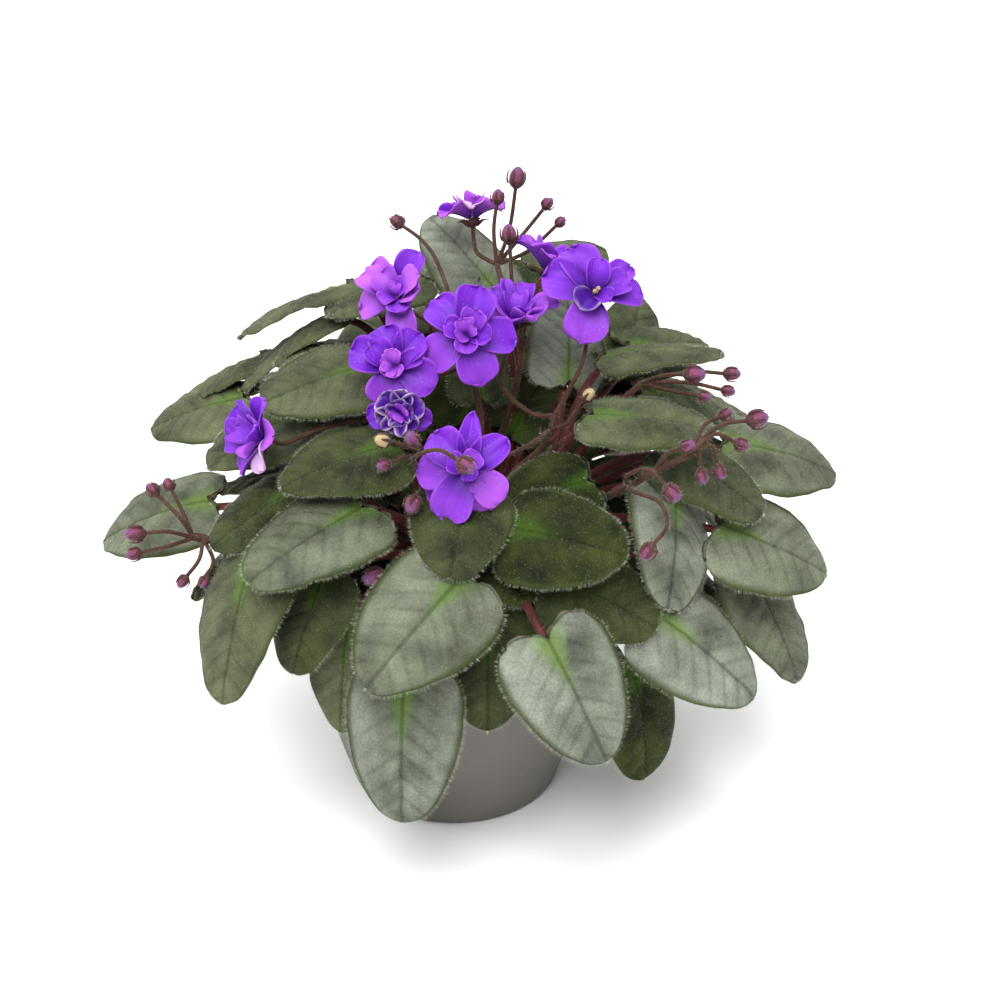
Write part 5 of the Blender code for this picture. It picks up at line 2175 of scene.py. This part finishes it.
@dataclass
class Pot:
    """The moulded pot: a plain flared wall, a rolled lip, and drain holes in its floor."""

    wall: float = 1.8 * MM
    floor: float = 2.4 * MM
    lip_width: float = 2.6 * MM
    lip_height: float = 6 * MM
    steps: int = 128
    hole_radius: float = 3.5 * MM
    hole_reach: float = 22 * MM
    holes: int = 6

    def outer(self, height: float) -> float:
        """Gives the wall's outer radius at a height."""
        return POT_FOOT_RADIUS + (POT_RIM_RADIUS - POT_FOOT_RADIUS) * height / POT_HEIGHT

    def profile(self) -> list[tuple[float, float]]:
        """Gives the section from the middle of the floor, over the lip, to the middle beneath.

        Returns:
            Its points, each a radius and a height.
        """
        top, lip = POT_HEIGHT, self.lip_height
        rim = POT_RIM_RADIUS + self.lip_width
        return [
            (0, self.floor),
            (self.outer(self.floor) - self.wall - 2 * MM, self.floor),
            (self.outer(self.floor) - self.wall - 0.6 * MM, self.floor + 0.5 * MM),
            (self.outer(self.floor + 2 * MM) - self.wall, self.floor + 2 * MM),
            (self.outer(top - 8 * MM) - self.wall, top - 8 * MM),
            (POT_RIM_RADIUS - self.wall, top - 0.5 * MM),
            (POT_RIM_RADIUS - self.wall + 0.5 * MM, top),
            (rim - 0.8 * MM, top),
            (rim - 0.25 * MM, top - 0.2 * MM),
            (rim, top - 0.8 * MM),
            (rim - 0.5 * MM, top - lip + 0.5 * MM),
            (rim - 0.9 * MM, top - lip),
            (self.outer(top - lip) + 0.3 * MM, top - lip - 0.1 * MM),
            (self.outer(top - lip), top - lip - 0.6 * MM),
            (self.outer(36 * MM), 36 * MM),
            (self.outer(3 * MM), 3 * MM),
            (self.outer(1.5 * MM) - 0.2 * MM, 1.2 * MM),
            (POT_FOOT_RADIUS - 0.9 * MM, 0.25 * MM),
            (POT_FOOT_RADIUS - 1.6 * MM, 0),
            (0, 0),
        ]

    def shell(self) -> BMesh:
        """Turns the section round the pot's axis.

        Returns:
            The closed form.
        """
        form = bmesh.new()
        spots = [form.verts.new((out, 0, up)) for out, up in self.profile()]
        edges = [form.edges.new(pair) for pair in zip(spots, spots[1:])]
        bmesh.ops.spin(
            form,
            geom=spots + edges,
            axis=(0, 0, 1),
            cent=(0, 0, 0),
            angle=math.tau,
            steps=self.steps,
            use_merge=True,
        )
        bmesh.ops.remove_doubles(form, verts=form.verts, dist=0.01 * MM)
        bmesh.ops.recalc_face_normals(form, faces=form.faces)
        return form

    def cutter(self) -> Object:
        """Makes the rods that the drain holes are cut with.

        Returns:
            Their object.
        """
        form = bmesh.new()
        for index in range(self.holes):
            spot = polar(360 * index / self.holes, self.hole_reach / MM, 0)
            bmesh.ops.create_cone(
                form,
                cap_ends=True,
                segments=28,
                radius1=self.hole_radius,
                radius2=self.hole_radius,
                depth=4 * self.floor,
                matrix=Matrix.Translation(spot),
            )
        return in_scene("drain_rods", mesh_of(form, "drain_rods"))

    def build(self, skin: Material) -> None:
        """Makes the pot.

        Args:
            skin: Its material.
        """
        piece = in_scene("grey_pot", mesh_of(self.shell(), "pot_shell"))
        rods = self.cutter()
        cut = piece.modifiers.new("drain", "BOOLEAN")
        cut.operation = "DIFFERENCE"
        cut.object = rods
        graph = bpy.context.evaluated_depsgraph_get()
        mesh = bpy.data.meshes.new_from_object(piece.evaluated_get(graph))
        piece.modifiers.clear()
        piece.data = mesh
        bpy.data.objects.remove(rods)
        mesh.materials.clear()
        mesh.materials.append(skin)
        mesh.shade_smooth()
        mesh.set_sharp_from_angle(angle=math.radians(38))
        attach(piece, "root")
        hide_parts("pot")
        LOG.info("grey_pot: %d faces", len(mesh.polygons))


@dataclass
class Soil:
    """The compost: a low rough mound with crumbs and perlite grains on it."""

    seed: int = 5
    rings: int = 26
    steps: int = 72
    crumbs: int = 420
    perlite: int = 46

    def __post_init__(self) -> None:
        """Starts the soil's surface."""
        self.dice = random.Random(self.seed)
        self.surface = Surface("crumb")

    @property
    def radius(self) -> float:
        """Gives the mound's radius, just inside the pot's wall."""
        share = (SOIL_TOP - 2 * MM) / POT_HEIGHT
        return POT_FOOT_RADIUS + (POT_RIM_RADIUS - POT_FOOT_RADIUS) * share - 2.2 * MM

    def height(self, x: float, y: float) -> float:
        """Gives the mound's height at a place.

        Args:
            x: How far it is to the right of the pot's axis.
            y: How far it is behind it.

        Returns:
            The height above the floor.
        """
        spot = Vector((x, y, 0))
        share = spot.length / self.radius
        rough = noise.fractal(spot * 130, 1.0, 2.1, 4) * 1.3 * MM
        return SOIL_TOP + 0.6 * MM - 1.8 * MM * share**3 + rough * (1 - 0.5 * share**4)

    def mound(self) -> None:
        """Makes the mound as a closed disc."""
        work, mark = self.surface.part()
        bmesh.ops.create_circle(work, cap_ends=True, segments=self.steps, radius=self.radius)
        for _ in range(self.rings):
            face = max(work.faces, key=lambda made: len(made.verts))
            step = self.radius / (self.rings + 1)
            bmesh.ops.inset_region(work, faces=[face], thickness=step)
        top = list(work.faces)
        grown = bmesh.ops.extrude_face_region(work, geom=top, use_keep_orig=True)
        lower = set(points_of(grown["geom"]))
        for vert in work.verts:
            low = vert in lower
            vert[mark] = (0, 0, 0)
            vert.co.z = SOIL_TOP - 6 * MM if low else self.height(vert.co.x, vert.co.y)
        bmesh.ops.recalc_face_normals(work, faces=work.faces)
        self.surface.absorb(work)

    def grain(self, size: float, kind: float) -> None:
        """Drops one crumb or perlite grain on the mound.

        Args:
            size: Its radius.
            kind: 0 for a crumb, 1 for perlite.
        """
        turn = self.dice.uniform(0, math.tau)
        out = (self.radius - 2 * MM) * math.sqrt(self.dice.uniform(0.03, 1))
        spot = Vector((out * math.cos(turn), out * math.sin(turn), 0))
        spot.z = self.height(spot.x, spot.y) + size * 0.25
        work, mark = self.surface.part()
        bmesh.ops.create_icosphere(work, subdivisions=1, radius=size)
        for vert in work.verts:
            vert[mark] = (0, 0, kind)
            vert.co *= 1 + 0.45 * noise.noise(vert.co * 900 + spot * 3000)
            vert.co.z *= 0.75
            vert.co += spot
        self.surface.absorb(work)

    def build(self, skin: Material) -> None:
        """Makes the soil.

        Args:
            skin: Its material.
        """
        self.mound()
        for _ in range(self.crumbs):
            self.grain(self.dice.uniform(0.5, 1.6) * MM, 0)
        for _ in range(self.perlite):
            self.grain(self.dice.uniform(0.7, 1.5) * MM, 1)
        self.surface.finish("compost", skin, Slot.SOIL, ["soil"], Vector())


# ---- Studio ----


@dataclass(frozen=True)
class Lamp:
    """A far soft lamp: where it stands, its strength, and how wide it looks from the plant."""

    name: str
    azimuth: float
    elevation: float
    strength: float
    breadth: float
    tint: Colour = (1.0, 1.0, 1.0)


@dataclass
class Studio:
    """The pale floor, the soft light and the camera."""

    aim: tuple[float, float, float] = (0.015, 0.005, 0.100)
    elevation: float = 30.0
    distance: float = 0.8
    lens: float = 90.0
    sky: float = 0.50
    lamps: tuple[Lamp, ...] = (
        Lamp("key", -100, 54, 3.6, 36, (1.0, 1.0, 0.99)),
        Lamp("window", 165, 46, 1.2, 40, (0.98, 1.0, 1.0)),
        Lamp("back", 78, 60, 1.9, 45),
    )

    def light(self, lamp: Lamp) -> None:
        """Places one lamp.

        Args:
            lamp: The lamp.
        """
        data = bpy.data.lights.new(lamp.name, "SUN")
        data.angle = math.radians(lamp.breadth)
        data.energy = lamp.strength
        data.color = lamp.tint
        self.look(in_scene(lamp.name, data), aimed(lamp.azimuth, lamp.elevation), 1.0)

    def look(self, made: Object, way: Vector, distance: float) -> None:
        """Stands a lamp or the camera off from the aim, and turns it to look at it.

        Args:
            made: The lamp or the camera.
            way: The way from the aim to it.
            distance: How far away it stands.
        """
        made.location = Vector(self.aim) + way * distance
        made.rotation_euler = way.to_track_quat("Z", "Y").to_euler()

    def floor(self, skin: Material) -> None:
        """Lays the floor.

        Args:
            skin: Its material.
        """
        form = bmesh.new()
        bmesh.ops.create_grid(form, x_segments=4, y_segments=4, size=8)
        mesh = mesh_of(form, "studio_floor")
        mesh.materials.append(skin)
        floor = in_scene("studio_floor", mesh)

    def build(self, skin: Material) -> None:
        """Sets the studio up.

        Args:
            skin: The floor's material.
        """
        self.floor(skin)
        for lamp in self.lamps:
            self.light(lamp)
        world = bpy.data.worlds.new("studio_air")
        world.use_nodes = True
        air = world.node_tree.nodes["Background"]
        air.inputs["Color"].default_value = (1.0, 1.0, 1.0, 1.0)
        air.inputs["Strength"].default_value = self.sky
        bpy.context.scene.world = world
        data = bpy.data.cameras.new("studio_camera")
        data.lens = self.lens
        data.sensor_width = 36
        data.clip_start = 0.01
        camera = in_scene("studio_camera", data)
        self.look(camera, aimed(-90, self.elevation), self.distance)
        bpy.context.scene.camera = camera
        bpy.context.scene.view_settings.view_transform = "Standard"


def main() -> None:
    """Builds the dressed plant and its studio."""
    logging.basicConfig(level=logging.INFO, format="%(name)s %(message)s")
    leaf_skin = LeafFinish().material()
    hair_skin = HairFinish().material()
    groups = (
        Foliage("skirt_leaves", SKIRT, 11),
        Foliage("middle_leaves", MIDDLE, 12),
        Foliage("top_leaves", TOP, 13),
        Foliage("back_leaves", BACK, 14, 20, 24, felt_density=0.2e6, fringe_spacing=0.30 * MM),
        Foliage("young_leaves", YOUNG, 15, 18, 22, felt_density=0.45e6, fringe_spacing=0.22 * MM),
    )
    blades = []
    for group in groups:
        blades += group.build(leaf_skin, hair_skin)
    Crown().build(blades, StalkFinish().material(), hair_skin)
    stalks = FlowerStalks()
    stalks.build(BLOOMS, BudFinish().material(), PetalFinish().material(), hair_skin)
    Pot().build(PotFinish().material())
    Soil().build(SoilFinish().material())
    Studio().build(FloorFinish().material())


if __name__ == "__main__":
    main()
